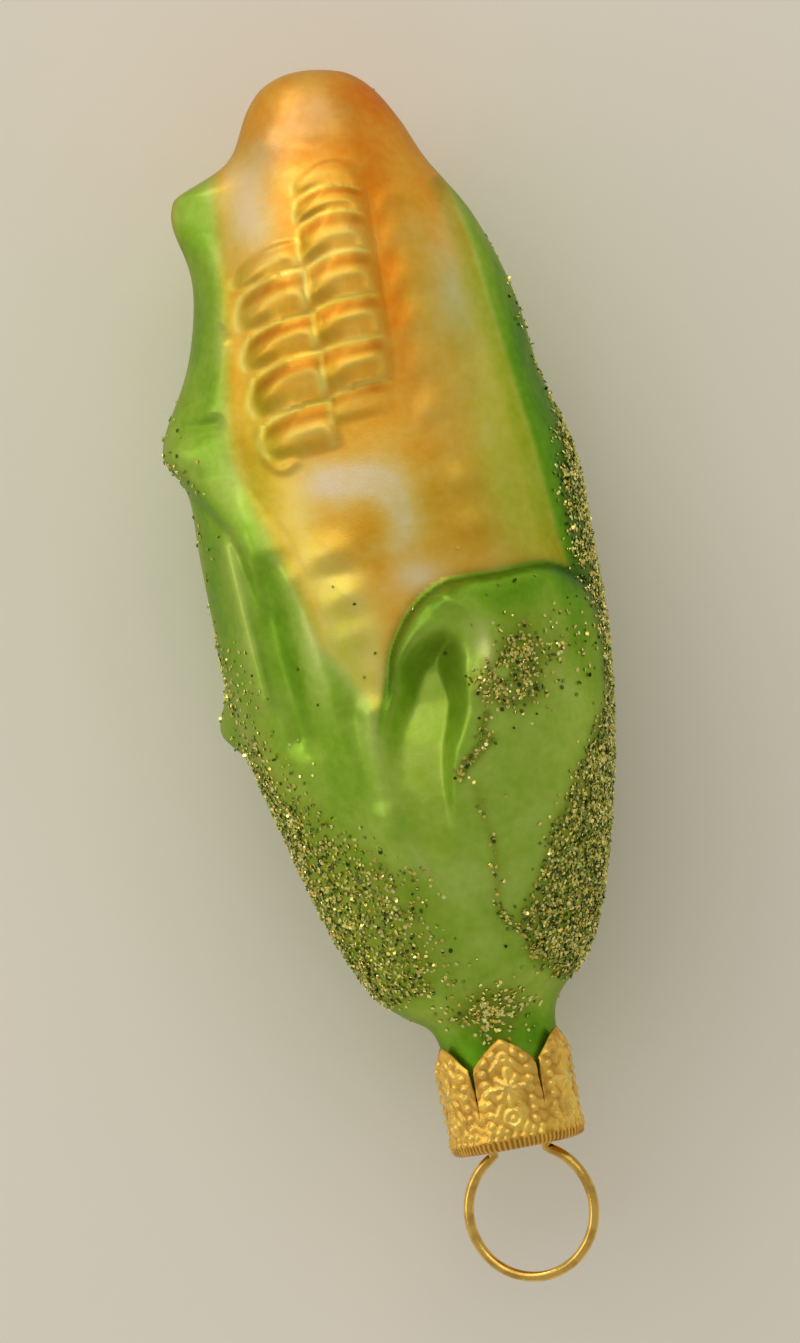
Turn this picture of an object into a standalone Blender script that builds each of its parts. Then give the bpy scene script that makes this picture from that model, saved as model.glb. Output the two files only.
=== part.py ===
"""Glass corn-cob ornament: a blown glass body, a stamped cap with six petals and a wire hanging ring.

The ornament lies on its back. +Y runs from the cap to the tip of the cob, +X is its right side and
+Z its front. Inside this file a place is (across, along, up) in millimetres, measured from the
centre of the cap's disc end, and `part_origin` moves the whole to the point under its middle.
"""

import math

import bmesh
import bpy
import numpy as np

MM = 0.001

# Cap: a sheet-metal cup whose wall is slit into six petals, with its disc end at along = 0.
CAP_RADIUS = 6.35
CAP_SHEET = 0.4
CAP_EDGE_ROUND = 0.5
PETALS = 6
PETAL_COLUMNS = 8
PETAL_ROWS = 4
SLIT_BOTTOM = 3.3
SLIT_HALF_ANGLE = math.radians(3.0)
PETAL_SHOULDER = 8.1
PETAL_TIP = 10.6
PETAL_FLARE = 0.15
PETAL_POINT = 1.25

# Hanger: one wire bent to a ring, whose legs pass the disc's two holes and spread in the neck.
WIRE_RADIUS = 0.49
RING_RADIUS = 6.3
RING_CENTRE_ALONG = -6.25
LEG_APART = 2.75
HOLE_RADIUS = 0.95
RING_TURN = math.radians(20)
RING_STEPS = 32
WIRE_FACETS = 2
HOLE_CORNERS = 10
LEG_ROUTE = ((LEG_APART, 1.0), (2.85, 4.0), (3.2, 9.0), (3.8, 13.0), (5.2, 17.0), (6.6, 20.0))

# Glass: the open mouth of the neck stops short of the cap's disc, and the wall is even. Nothing
# reaches further down than REST_DEPTH, which is where the back ribs are cut to one plane.
FIT_GAP = 0.35
NECK_RADIUS = CAP_RADIUS - CAP_SHEET - FIT_GAP
WALL = 1.1
AROUND = 60
ROWS = 62
INNER_ROWS = 30
REST_DEPTH = 17.9
LEAST_RADIUS = 0.05
LEAST_HALF = 1e-6

# Near the tip relief shrinks with the body's radius, and the inner skin draws back from the tip.
RELIEF_RADIUS = 3.0
TIP_RUN = (90.0, 104.0)

# The inner skin takes up only a share of the raised relief, and stays clear of the hollows.
INNER_LOBE_SHARE = 0.6
INNER_RAISED_SHARE = 0.5
INNER_HOLLOW_SHARE = 1.3

# Stations of the glass: along, left edge, right edge, front depth, back depth.
STATIONS = (
    (0.75, -NECK_RADIUS, NECK_RADIUS, NECK_RADIUS, NECK_RADIUS),
    (5.0, -NECK_RADIUS, NECK_RADIUS, NECK_RADIUS, NECK_RADIUS),
    (10.3, -NECK_RADIUS, NECK_RADIUS, NECK_RADIUS, NECK_RADIUS),
    (12.4, -6.3, 5.9, 6.1, 6.1),
    (14.0, -8.5, 6.9, 7.6, 7.6),
    (16.0, -10.5, 9.0, 9.6, 9.5),
    (19.0, -12.1, 11.0, 11.4, 11.2),
    (24.0, -14.0, 12.9, 13.3, 13.1),
    (30.0, -15.6, 14.6, 14.9, 14.8),
    (38.0, -17.6, 16.3, 16.5, 16.6),
    (46.0, -18.9, 17.4, 17.3, 17.1),
    (56.0, -19.3, 17.6, 17.5, 17.1),
    (64.0, -19.2, 17.5, 17.2, 17.1),
    (72.0, -18.3, 15.7, 16.4, 16.6),
    (80.0, -16.4, 14.7, 15.3, 15.6),
    (88.0, -14.0, 12.2, 13.4, 13.7),
    (94.0, -11.0, 8.8, 10.8, 11.0),
    (98.0, -8.8, 7.1, 8.3, 8.5),
    (101.5, -6.9, 5.0, 6.2, 6.2),
    (103.4, -4.9, 2.6, 4.0, 4.0),
    (104.2, -1.6, -1.6, 0.0, 0.0),
)

# The back's section is a little squarer than an ellipse: what is added to the power of 2, and the
# stretch along the body over which it sets in. The front's relief sets in over the sines below.
BACK_SQUARENESS = 0.3
SQUARE_FROM = (15.0, 34.0)
FRONT_SINES = (0.02, 0.35)

# Front leaf: its outline, and the pocket under its curl. Height and depth fade out towards the cap.
LEAF_OUTLINE = (
    (-2.6, 28.0), (-4.4, 31.0), (-5.4, 36.0), (-5.6, 40.6), (-3.2, 48.0), (0.5, 52.7),
    (5.0, 54.0), (12.0, 54.0), (16.2, 51.4), (19.0, 48.0), (19.0, 20.0), (3.0, 16.0),
)
LEAF_HEIGHT = 3.3
LEAF_ROUNDING = 1.3
LEAF_RUN = (16.0, 42.0)
POCKET_OUTLINE = (
    (-2.8, 29.0), (-4.6, 36.0), (-4.6, 41.0), (-2.6, 46.5), (0.8, 49.6), (2.8, 49.8),
    (4.2, 48.5), (3.4, 42.6), (1.2, 37.8), (0.0, 31.0), (-0.6, 29.0),
)
POCKET_DEPTH = 3.0
POCKET_WALL = 2.2
POCKET_RUN = (28.0, 44.0)

# Kernel columns: middle, half width, first groove, last groove (rows are an even pitch apart).
KERNEL_COLUMNS = ((-7.4, 3.4, 67.8, 88.6), (-1.0, 3.0, 69.6, 94.6), (5.6, 2.6, 71.0, 91.8))
KERNEL_PITCH = 4.15
KERNEL_HEIGHT = 0.6
KERNEL_FADE = 0.5

# Folds on the front: height, half width and the route, each along (across, along) points.
FRONT_FOLDS = (
    (1.4, 1.7, ((-18.2, 70.4), (-16.4, 66.6), (-14.6, 62.6), (-13.2, 57.0))),
    (0.7, 1.5, ((-11.4, 56.5), (-9.5, 45.0), (-6.8, 32.0))),
    (0.7, 1.3, ((-6.1, 43.0), (-6.2, 34.0), (-5.2, 28.0))),
    (0.8, 1.3, ((-16.7, 60.0), (-16.3, 54.0), (-15.8, 46.0))),
    (0.9, 1.2, ((3.0, 52.2), (5.9, 49.6), (6.2, 46.6), (4.8, 43.4))),
    (0.6, 1.6, ((13.2, 88.0), (15.0, 75.0), (15.8, 60.0))),
)

# Lobes that widen the silhouette: height, angle, half angle, along, and reach towards cap and tip.
LOBES = (
    (4.6, 172.0, 26.0, 94.0, 5.2, 1.4),
    (2.6, 170.0, 22.0, 70.8, 3.0, 5.4),
    (2.4, 197.0, 13.0, 43.8, 2.6, 3.2),
)

# Back husk: angle from straight down and height of each rib, and the stretch the ribs run along.
BACK_RIBS = ((-21.0, 2.1), (21.0, 2.1), (-52.0, 0.9), (52.0, 0.9))
RIB_HALF_ANGLE = 6.5
RIB_RUN = (20.0, 92.0)
RIB_FADE = 12.0
STRAIGHT_DOWN = 270.0

# Edges that turn by more than this stay sharp.
SHARP_TURN = math.radians(50)

# Finishes: name, colour, roughness and metallic value.
LACQUERED_GLASS = ("green_lacquer_on_silvered_glass", (0.18, 0.31, 0.04), 0.4, 0.7)
STAMPED_GOLD = ("stamped_gold", (0.60, 0.33, 0.05), 0.3, 1.0)
BRASS_WIRE = ("brass_wire", (0.58, 0.40, 0.11), 0.25, 1.0)


def fade(value, start, end):
    """Rises smoothly from 0 at start to 1 at end."""
    t = np.clip((value - start) / (end - start), 0.0, 1.0)
    return t * t * (3.0 - 2.0 * t)


def stations(count):
    """Rows of the glass on one smooth curve through STATIONS, evenly spaced along its skin."""
    known = np.array(STATIONS)
    past_tip = known[-2] * (1, 0, 0, -1, -1) + (0, known[-2][2], known[-2][1], 0, 0)
    points = np.vstack([2 * known[0] - known[1], known, past_tip])
    half_width = 0.5 * (points[:, 2] - points[:, 1])
    chords = np.hypot(np.diff(points[:, 0]), np.diff(half_width))
    knots = np.concatenate([[0.0], np.cumsum(chords)])
    slopes = (points[2:] - points[:-2]) / (knots[2:] - knots[:-2])[:, None]
    knots, points = knots[1:-1], points[1:-1]
    at = np.linspace(knots[0], knots[-1], count)
    i = np.clip(np.searchsorted(knots, at, side="right") - 1, 0, len(knots) - 2)
    span = knots[i + 1] - knots[i]
    t = ((at - knots[i]) / span)[:, None]
    span = span[:, None]
    return (
        (1 + 2 * t) * (1 - t) ** 2 * points[i]
        + t * (1 - t) ** 2 * span * slopes[i]
        + t * t * (3 - 2 * t) * points[i + 1]
        + t * t * (t - 1) * span * slopes[i + 1]
    )


def route_distance(across, along, route):
    """Distance in millimetres from each place to a route of straight runs."""
    nearest = np.full(across.shape, np.inf)
    for (x0, y0), (x1, y1) in zip(route[:-1], route[1:]):
        dx, dy = x1 - x0, y1 - y0
        t = np.clip(((across - x0) * dx + (along - y0) * dy) / (dx * dx + dy * dy), 0.0, 1.0)
        nearest = np.minimum(nearest, np.hypot(across - x0 - t * dx, along - y0 - t * dy))
    return nearest


def depth_inside(across, along, outline):
    """Distance in from a closed outline, and 0 outside it."""
    closed = outline + outline[:1]
    inside = np.zeros(across.shape, dtype=bool)
    for (x0, y0), (x1, y1) in zip(closed[:-1], closed[1:]):
        crosses = (y0 > along) != (y1 > along)
        run = y1 - y0 if y1 != y0 else 1.0
        inside ^= crosses & (across < (x1 - x0) * (along - y0) / run + x0)
    return np.where(inside, route_distance(across, along, closed), 0.0)


def kernel_relief(across, along):
    """Pillow-shaped kernels in columns on the front of the cob."""
    relief = np.zeros(across.shape)
    for middle, half, first, last in KERNEL_COLUMNS:
        side = np.clip(np.abs(across - middle) / half, 0.0, 1.0)
        row = (along - first) / KERNEL_PITCH
        bulge = np.abs(np.sin(math.pi * row)) * (1 - side**3)
        starts = fade(along, first - KERNEL_FADE, first + KERNEL_FADE)
        shown = starts * fade(along, last + KERNEL_FADE, last - KERNEL_FADE)
        relief += KERNEL_HEIGHT * bulge * shown
    return relief


def front_relief(across, along):
    """Height of the front's folds, leaf and kernels above the plain body."""
    inside = depth_inside(across, along, LEAF_OUTLINE)
    leaf = LEAF_HEIGHT * (1 - np.exp(-inside / LEAF_ROUNDING)) * fade(along, *LEAF_RUN)
    pocket = depth_inside(across, along, POCKET_OUTLINE)
    relief = leaf - POCKET_DEPTH * fade(pocket, 0.0, POCKET_WALL) * fade(along, *POCKET_RUN)
    relief += kernel_relief(across, along)
    for height, half, route in FRONT_FOLDS:
        relief += height * np.exp(-((route_distance(across, along, route) / half) ** 2))
    return relief


def lobe_relief(angle, along):
    """How far the leaf tips and curled leaf edges stand out at the sides."""
    relief = np.zeros(angle.shape)
    for height, middle, half, place, before, after in LOBES:
        reach = np.where(along < place, before, after)
        turn = (angle - math.radians(middle)) / math.radians(half)
        relief += height * np.exp(-(turn**2) - ((along - place) / reach) ** 2)
    return relief


def back_relief(angle, along):
    """Ribs of the husk leaves on the back, which the ornament rests on."""
    start, end = RIB_RUN
    run = fade(along, start, start + RIB_FADE) * fade(along, end, end - RIB_FADE)
    relief = np.zeros(angle.shape)
    for place, height in BACK_RIBS:
        turn = (np.degrees(angle) - STRAIGHT_DOWN - place) / RIB_HALF_ANGLE
        relief += height * np.exp(-(turn**2)) * run
    return relief


def glass_points(row_count, around, inset):
    """Places of a skin of the glass as (rows, around, 3), inset from the outer skin.

    Small relief is left off an inset skin, which is smoother than the outside, as in blown glass.
    """
    table = stations(row_count)
    angle = np.linspace(0.0, 2 * math.pi, around, endpoint=False)[None, :]
    along, left, right, front, back = (table[:, i : i + 1] for i in range(5))
    middle, half = 0.5 * (left + right), np.maximum(0.5 * (right - left), LEAST_HALF)
    front, back = np.maximum(front, LEAST_HALF), np.maximum(back, LEAST_HALF)
    cosine, sine = np.cos(angle), np.sin(angle)
    faces_front = sine > 0
    depth = np.where(faces_front, front, back)
    power = 2.0 + np.where(faces_front, 0.0, BACK_SQUARENESS * fade(along, *SQUARE_FROM))
    radius = (np.abs(cosine / half) ** power + np.abs(sine / depth) ** power) ** (-1 / power)
    along = along + 0 * angle
    angle = angle + 0 * along
    across = middle + radius * cosine
    outward = lobe_relief(angle, along)
    upward = fade(sine, *FRONT_SINES) * front_relief(across, along)
    if inset:
        outward = INNER_LOBE_SHARE * outward
        raised = INNER_RAISED_SHARE * np.clip(upward, 0.0, None)
        upward = raised + INNER_HOLLOW_SHARE * np.clip(upward, None, 0.0)
    else:
        outward = outward + back_relief(angle, along)
    radius = radius + outward * np.minimum(1.0, radius / RELIEF_RADIUS)
    radius = np.maximum(radius - inset, LEAST_RADIUS)
    up = radius * sine + upward * np.minimum(1.0, radius / RELIEF_RADIUS)
    along = along - inset * fade(along, *TIP_RUN)
    up = np.maximum(up, -REST_DEPTH + inset)
    return np.stack([middle + radius * cosine, along, up], axis=-1)


def add_rows(bm, points, inward):
    """A skin of quads over rows of points, closed at its end by one point; returns its first ring."""
    rings = [[bm.verts.new(p * MM) for p in row] for row in points[:-1]]
    end = bm.verts.new(points[-1].mean(axis=0) * MM)
    count = len(rings[0])
    for below, above in zip(rings[:-1], rings[1:]):
        for i in range(count):
            j = (i + 1) % count
            corners = [below[i], above[i], above[j], below[j]]
            bm.faces.new(corners[::-1] if inward else corners)
    for i in range(count):
        corners = [rings[-1][i], end, rings[-1][(i + 1) % count]]
        bm.faces.new(corners[::-1] if inward else corners)
    return rings[0]


def add_mouth(bm, outer, inner):
    """The cut end of the neck, between an outer ring and an inner ring with half as many points."""
    for i in range(len(inner)):
        here, there = inner[i], inner[(i + 1) % len(inner)]
        first, second, third = (outer[(2 * i + k) % len(outer)] for k in range(3))
        bm.faces.new([here, first, second])
        bm.faces.new([here, second, there])
        bm.faces.new([there, second, third])


def new_object(name, mesh_or_curve, material, parent):
    """An object in the scene with one material, under the part's origin."""
    obj = bpy.data.objects.new(name, mesh_or_curve)
    obj.data.materials.append(material)
    bpy.context.scene.collection.objects.link(obj)
    obj.parent = parent
    return obj


def principled(name, colour, roughness, metallic):
    """A plain material of one colour."""
    material = bpy.data.materials.new(name)
    material.use_nodes = True
    shader = material.node_tree.nodes["Principled BSDF"]
    shader.inputs["Base Color"].default_value = (*colour, 1.0)
    shader.inputs["Roughness"].default_value = roughness
    shader.inputs["Metallic"].default_value = metallic
    return material


def mesh_from(bm, name):
    """A smooth mesh from a bmesh, with its creases left sharp."""
    bmesh.ops.recalc_face_normals(bm, faces=bm.faces)
    mesh = bpy.data.meshes.new(name)
    bm.to_mesh(mesh)
    bm.free()
    mesh.shade_smooth()
    mesh.set_sharp_from_angle(angle=SHARP_TURN)
    return mesh


def make_glass_body(parent):
    """The hollow shell: cob, kernels and husk leaves in one skin of glass, open at the neck."""
    bm = bmesh.new()
    outer = add_rows(bm, glass_points(ROWS, AROUND, 0.0), inward=False)
    inner = add_rows(bm, glass_points(INNER_ROWS, AROUND // 2, WALL), inward=True)
    add_mouth(bm, outer, inner)
    mesh = mesh_from(bm, "glass_body")
    return new_object("glass_body", mesh, principled(*LACQUERED_GLASS), parent)


def petal_edge(share):
    """Height of a petal's top edge, with share from -1 to 1 across the petal."""
    return PETAL_TIP - (PETAL_TIP - PETAL_SHOULDER) * abs(share) ** PETAL_POINT


def cap_point(angle, along, radius):
    """A place on the cap's wall, with the first petal facing the front."""
    turned = angle + math.pi / 2
    return (radius * math.cos(turned) * MM, along * MM, radius * math.sin(turned) * MM)


def add_strip(bm, low, high):
    """Quads between two open rows of points."""
    for i in range(len(low) - 1):
        bm.faces.new([low[i], low[i + 1], high[i + 1], high[i]])


def make_cap(parent):
    """The stamped cup: a disc with two holes, a round edge, and a wall slit into petals."""
    bm = bmesh.new()
    half = math.pi / PETALS
    columns = PETALS * PETAL_COLUMNS
    angles = [2 * math.pi * i / columns - half for i in range(columns)]
    edge = CAP_EDGE_ROUND
    corner = edge * (1 - math.sqrt(0.5))
    rings = []
    for along, radius in ((0.0, CAP_RADIUS - edge), (corner, CAP_RADIUS - corner),
                          (edge, CAP_RADIUS), (SLIT_BOTTOM, CAP_RADIUS)):
        rings.append([bm.verts.new(cap_point(a, along, radius)) for a in angles])
    for low, high in zip(rings[:-1], rings[1:]):
        add_strip(bm, low + low[:1], high + high[:1])
    wall_top = rings[-1] + rings[-1][:1]
    for petal in range(PETALS):
        start = petal * PETAL_COLUMNS
        row = wall_top[start : start + PETAL_COLUMNS + 1]
        middle = 2 * math.pi * petal / PETALS
        for step in range(1, PETAL_ROWS + 1):
            rise = step / PETAL_ROWS
            next_row = []
            for column in range(PETAL_COLUMNS + 1):
                share = 2 * column / PETAL_COLUMNS - 1
                angle = middle + share * (half - rise * SLIT_HALF_ANGLE)
                along = SLIT_BOTTOM + rise * (petal_edge(share) - SLIT_BOTTOM)
                radius = CAP_RADIUS + PETAL_FLARE * rise
                next_row.append(bm.verts.new(cap_point(angle, along, radius)))
            add_strip(bm, row, next_row)
            row = next_row
    add_disc(bm, rings[0])
    mesh = mesh_from(bm, "cap")
    cap = new_object("cap", mesh, principled(*STAMPED_GOLD), parent)
    sheet = cap.modifiers.new("sheet_metal", "SOLIDIFY")
    sheet.thickness = CAP_SHEET * MM
    sheet.offset = -1.0
    sheet.use_even_offset = True
    return cap


def add_disc(bm, rim):
    """The cap's end disc, filled between its rim and the two holes for the wire."""
    edges = [bm.edges.get((rim[i], rim[(i + 1) % len(rim)])) for i in range(len(rim))]
    for side in (-1, 1):
        x = side * LEG_APART * math.cos(RING_TURN)
        z = side * LEG_APART * math.sin(RING_TURN)
        loop = []
        for i in range(HOLE_CORNERS):
            a = 2 * math.pi * i / HOLE_CORNERS
            place = (x + HOLE_RADIUS * math.cos(a), 0.0, z + HOLE_RADIUS * math.sin(a))
            loop.append(bm.verts.new([v * MM for v in place]))
        edges += [bm.edges.new((loop[i - 1], loop[i])) for i in range(HOLE_CORNERS)]
    bmesh.ops.triangle_fill(bm, use_beauty=True, use_dissolve=False, edges=edges)


def hanger_route():
    """Middle line of the wire in its own plane: a leg, the ring, and the other leg."""
    opening = math.asin(LEG_APART / RING_RADIUS)
    ring = []
    for i in range(RING_STEPS + 1):
        a = opening + (2 * math.pi - 2 * opening) * i / RING_STEPS
        ring.append((RING_RADIUS * math.sin(a), RING_CENTRE_ALONG + RING_RADIUS * math.cos(a)))
    right = list(LEG_ROUTE)[::-1]
    left = [(-x, y) for x, y in LEG_ROUTE]
    return right + ring + left


def make_hanger(parent):
    """The wire, as a curve with a round bevel, turned a little about the ornament's axis."""
    curve = bpy.data.curves.new("hanger", "CURVE")
    curve.dimensions = "3D"
    spline = curve.splines.new("POLY")
    route = hanger_route()
    spline.points.add(len(route) - 1)
    for point, (x, y) in zip(spline.points, route):
        point.co = (x * MM * math.cos(RING_TURN), y * MM, x * MM * math.sin(RING_TURN), 1.0)
    curve.bevel_depth = WIRE_RADIUS * MM
    curve.bevel_resolution = WIRE_FACETS
    curve.use_fill_caps = True
    return new_object("hanger", curve, principled(*BRASS_WIRE), parent)


def rest_on_origin(parent, parts):
    """Moves the part so that its origin is under its middle, on the surface that it rests on."""
    bpy.context.view_layer.update()
    graph = bpy.context.evaluated_depsgraph_get()
    places = []
    for part in parts:
        shown = part.evaluated_get(graph)
        mesh = shown.to_mesh()
        places += [part.matrix_world @ v.co for v in mesh.vertices]
        shown.to_mesh_clear()
    low = [min(p[i] for p in places) for i in range(3)]
    high = [max(p[i] for p in places) for i in range(3)]
    parent.location = (-0.5 * (low[0] + high[0]), -0.5 * (low[1] + high[1]), -low[2])


def main():
    """Builds the ornament in an empty scene."""
    for obj in list(bpy.data.objects):
        bpy.data.objects.remove(obj, do_unlink=True)
    origin = bpy.data.objects.new("part_origin", None)
    bpy.context.scene.collection.objects.link(origin)
    parts = [make_glass_body(origin), make_cap(origin), make_hanger(origin)]
    rest_on_origin(origin, parts)


main()
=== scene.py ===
"""Looks of the glass corn-cob ornament: lacquered shell, glitter, stamped cap and wire ring.

Places are (across, along, up) in millimetres from the centre of the cap's disc end: +across is the
ornament's right side, +along runs to the tip of the cob and +up is its front. `Bench` turns them
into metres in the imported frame. Angles round the ornament start at its right side and rise by way
of its front.
"""

import logging
import math
from dataclasses import dataclass
from enum import Enum

import bmesh
import bpy
import numpy as np
from mathutils import Matrix, Vector

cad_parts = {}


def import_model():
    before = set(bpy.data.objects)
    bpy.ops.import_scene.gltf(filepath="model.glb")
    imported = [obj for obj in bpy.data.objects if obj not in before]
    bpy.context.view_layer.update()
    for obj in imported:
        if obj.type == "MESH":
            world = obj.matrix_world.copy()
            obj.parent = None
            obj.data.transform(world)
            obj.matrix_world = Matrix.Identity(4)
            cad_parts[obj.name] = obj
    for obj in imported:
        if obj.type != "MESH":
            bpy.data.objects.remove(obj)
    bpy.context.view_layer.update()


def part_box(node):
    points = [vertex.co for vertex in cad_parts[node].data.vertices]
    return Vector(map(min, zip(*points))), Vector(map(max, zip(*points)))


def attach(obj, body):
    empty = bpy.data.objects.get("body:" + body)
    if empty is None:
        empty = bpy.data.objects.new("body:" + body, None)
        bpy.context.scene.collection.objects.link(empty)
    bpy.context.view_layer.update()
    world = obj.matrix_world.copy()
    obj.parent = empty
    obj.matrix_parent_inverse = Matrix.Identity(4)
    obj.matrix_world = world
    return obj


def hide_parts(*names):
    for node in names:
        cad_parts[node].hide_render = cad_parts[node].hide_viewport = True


MM = 0.001
FINE_STEPS = 4000
Grid = np.ndarray
Span = tuple[float, float]
Route = tuple[Span, ...]
Colour = tuple[float, float, float]
Socket = bpy.types.NodeSocket
log = logging.getLogger("ornament")


# ---- Shapes in the plane, and meshes ----


def fade(value: Grid | float, start: float, end: float) -> Grid:
    """Rise smoothly from 0 at start to 1 at end.

    Args:
        value: What is looked up.
        start: Where the rise begins; it may lie above end, and then the rise runs downwards.
        end: Where the rise is complete.

    Returns:
        The risen share, from 0 to 1.
    """
    share = np.clip((value - start) / (end - start), 0.0, 1.0)
    return share * share * (3.0 - 2.0 * share)


def bell(distance: Grid, half: float) -> Grid:
    """A soft hump of height 1 over a distance of 0, down to about a third at half."""
    return np.exp(-((distance / half) ** 2))


def smooth_route(points: Route, closed: bool = False, steps: int = 6) -> Route:
    """Draw one smooth curve through a few points.

    Args:
        points: The points that the curve passes.
        closed: Whether the curve returns to its start.
        steps: How many short runs replace each span.

    Returns:
        The points of the smooth curve; a closed one ends on its first point.
    """
    known = np.array(points, float)
    if closed:
        ring = np.vstack([known[-1:], known, known[:2]])
    else:
        ring = np.vstack([2 * known[0] - known[1], known, 2 * known[-1] - known[-2]])
    share = np.linspace(0.0, 1.0, steps, endpoint=False)[:, None]
    spans = []
    for a, b, c, d in zip(ring[:-3], ring[1:-2], ring[2:-1], ring[3:]):
        bend = (2 * a - 5 * b + 4 * c - d) * share**2 + (3 * b - a - 3 * c + d) * share**3
        spans.append(b + 0.5 * ((c - a) * share + bend))
    curve = np.vstack(spans + [ring[-2:-1]])
    return tuple((float(x), float(y)) for x, y in curve)


def route_distance(across: Grid, along: Grid, route: Route) -> Grid:
    """Distance from each place to a route of straight runs."""
    nearest = np.full(across.shape, np.inf)
    for (x0, y0), (x1, y1) in zip(route[:-1], route[1:]):
        dx, dy = x1 - x0, y1 - y0
        length = max(dx * dx + dy * dy, 1e-9)
        share = np.clip(((across - x0) * dx + (along - y0) * dy) / length, 0.0, 1.0)
        nearest = np.minimum(nearest, np.hypot(across - x0 - share * dx, along - y0 - share * dy))
    return nearest


def depth_inside(across: Grid, along: Grid, outline: Route) -> Grid:
    """Distance in from a closed outline, and less than 0 outside it."""
    inside = np.zeros(across.shape, dtype=bool)
    for (x0, y0), (x1, y1) in zip(outline[:-1], outline[1:]):
        crosses = (y0 > along) != (y1 > along)
        run = y1 - y0 if y1 != y0 else 1.0
        inside ^= crosses & (across < (x1 - x0) * (along - y0) / run + x0)
    distance = route_distance(across, along, outline)
    return np.where(inside, distance, -distance)


def laid(features: tuple["Feature", ...], across: Grid, along: Grid) -> Grid:
    """What several features add together at each place."""
    return sum(feature.relief(across, along) for feature in features)


def look_up(place: Grid, table: Route) -> Grid:
    """The value at each place, between those of a table of (place, value) from low to high."""
    return np.interp(place, [known for known, _ in table], [value for _, value in table])


def even_steps(start: float, end: float, pitch: Route, multiple: int = 1) -> Grid:
    """Steps from start to end whose spacing follows a wish.

    Args:
        start: The first step.
        end: The last step.
        pitch: Wished spacing, as (place, spacing) from low to high.
        multiple: The number of gaps is a whole multiple of this.

    Returns:
        The places of all steps, start and end among them.
    """
    fine = np.linspace(start, end, FINE_STEPS)
    wished = look_up(fine, pitch)
    count = np.concatenate([[0.0], np.cumsum(np.diff(fine) / wished[1:])])
    gaps = multiple * round(count[-1] / multiple)
    return np.interp(np.linspace(0.0, count[-1], gaps + 1), count, fine)


def mesh_object(name: str, vertices: Grid, faces: list, finish: bpy.types.Material,
                masks: dict[str, Grid] | None = None, sharp: float = 50.0) -> bpy.types.Object:
    """Make a smooth-shaded mesh object in the scene.

    Args:
        name: Name of the piece.
        vertices: Places in metres, one row each.
        faces: Rows of vertex numbers.
        finish: The piece's material.
        masks: Named values, one for each vertex, that the material reads.
        sharp: Edges that turn by more than this many degrees stay crisp.

    Returns:
        The new object, linked to the scene.
    """
    mesh = bpy.data.meshes.new(name)
    mesh.from_pydata(vertices.tolist(), [], faces)
    mesh.shade_smooth()
    mesh.set_sharp_from_angle(angle=math.radians(sharp))
    for mask, values in (masks or {}).items():
        layer = mesh.attributes.new(mask, "FLOAT", "POINT")
        layer.data.foreach_set("value", np.ascontiguousarray(values, np.float32).ravel())
    mesh.materials.append(finish)
    piece = bpy.data.objects.new(name, mesh)
    bpy.context.scene.collection.objects.link(piece)
    return piece


def ring_faces(rows: int, around: int) -> list:
    """Quads between rows of points that each close into a ring."""
    faces = []
    for row in range(rows - 1):
        low, high = row * around, (row + 1) * around
        for i in range(around):
            j = (i + 1) % around
            faces.append((low + i, high + i, high + j, low + j))
    return faces


def grid_faces(start: int, rows: int, columns: int) -> list:
    """Quads between open rows of points, the first of which is numbered start."""
    faces = []
    for row in range(rows - 1):
        for i in range(start + row * columns, start + (row + 1) * columns - 1):
            faces.append((i, i + columns, i + columns + 1, i + 1))
    return faces


@dataclass(frozen=True)
class Bench:
    """Where the ornament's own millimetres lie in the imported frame."""

    origin: Vector

    @classmethod
    def under_cap(cls) -> "Bench":
        """The bench whose zero is the centre of the cap's disc end."""
        low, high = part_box("cap")
        return cls(Vector((0.5 * (low.x + high.x), low.y, 0.5 * (low.z + high.z))))

    def metres(self, places: Grid) -> Grid:
        """Places in millimetres on the ornament as metres in the frame."""
        return np.asarray(places, float).reshape(-1, 3) * MM + np.array(self.origin)


# ---- Node groups shared by the finishes ----


class SocketKind(Enum):
    """Kinds of socket that the shared groups have."""

    VALUE = "NodeSocketFloat"
    COLOUR = "NodeSocketColor"


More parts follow.
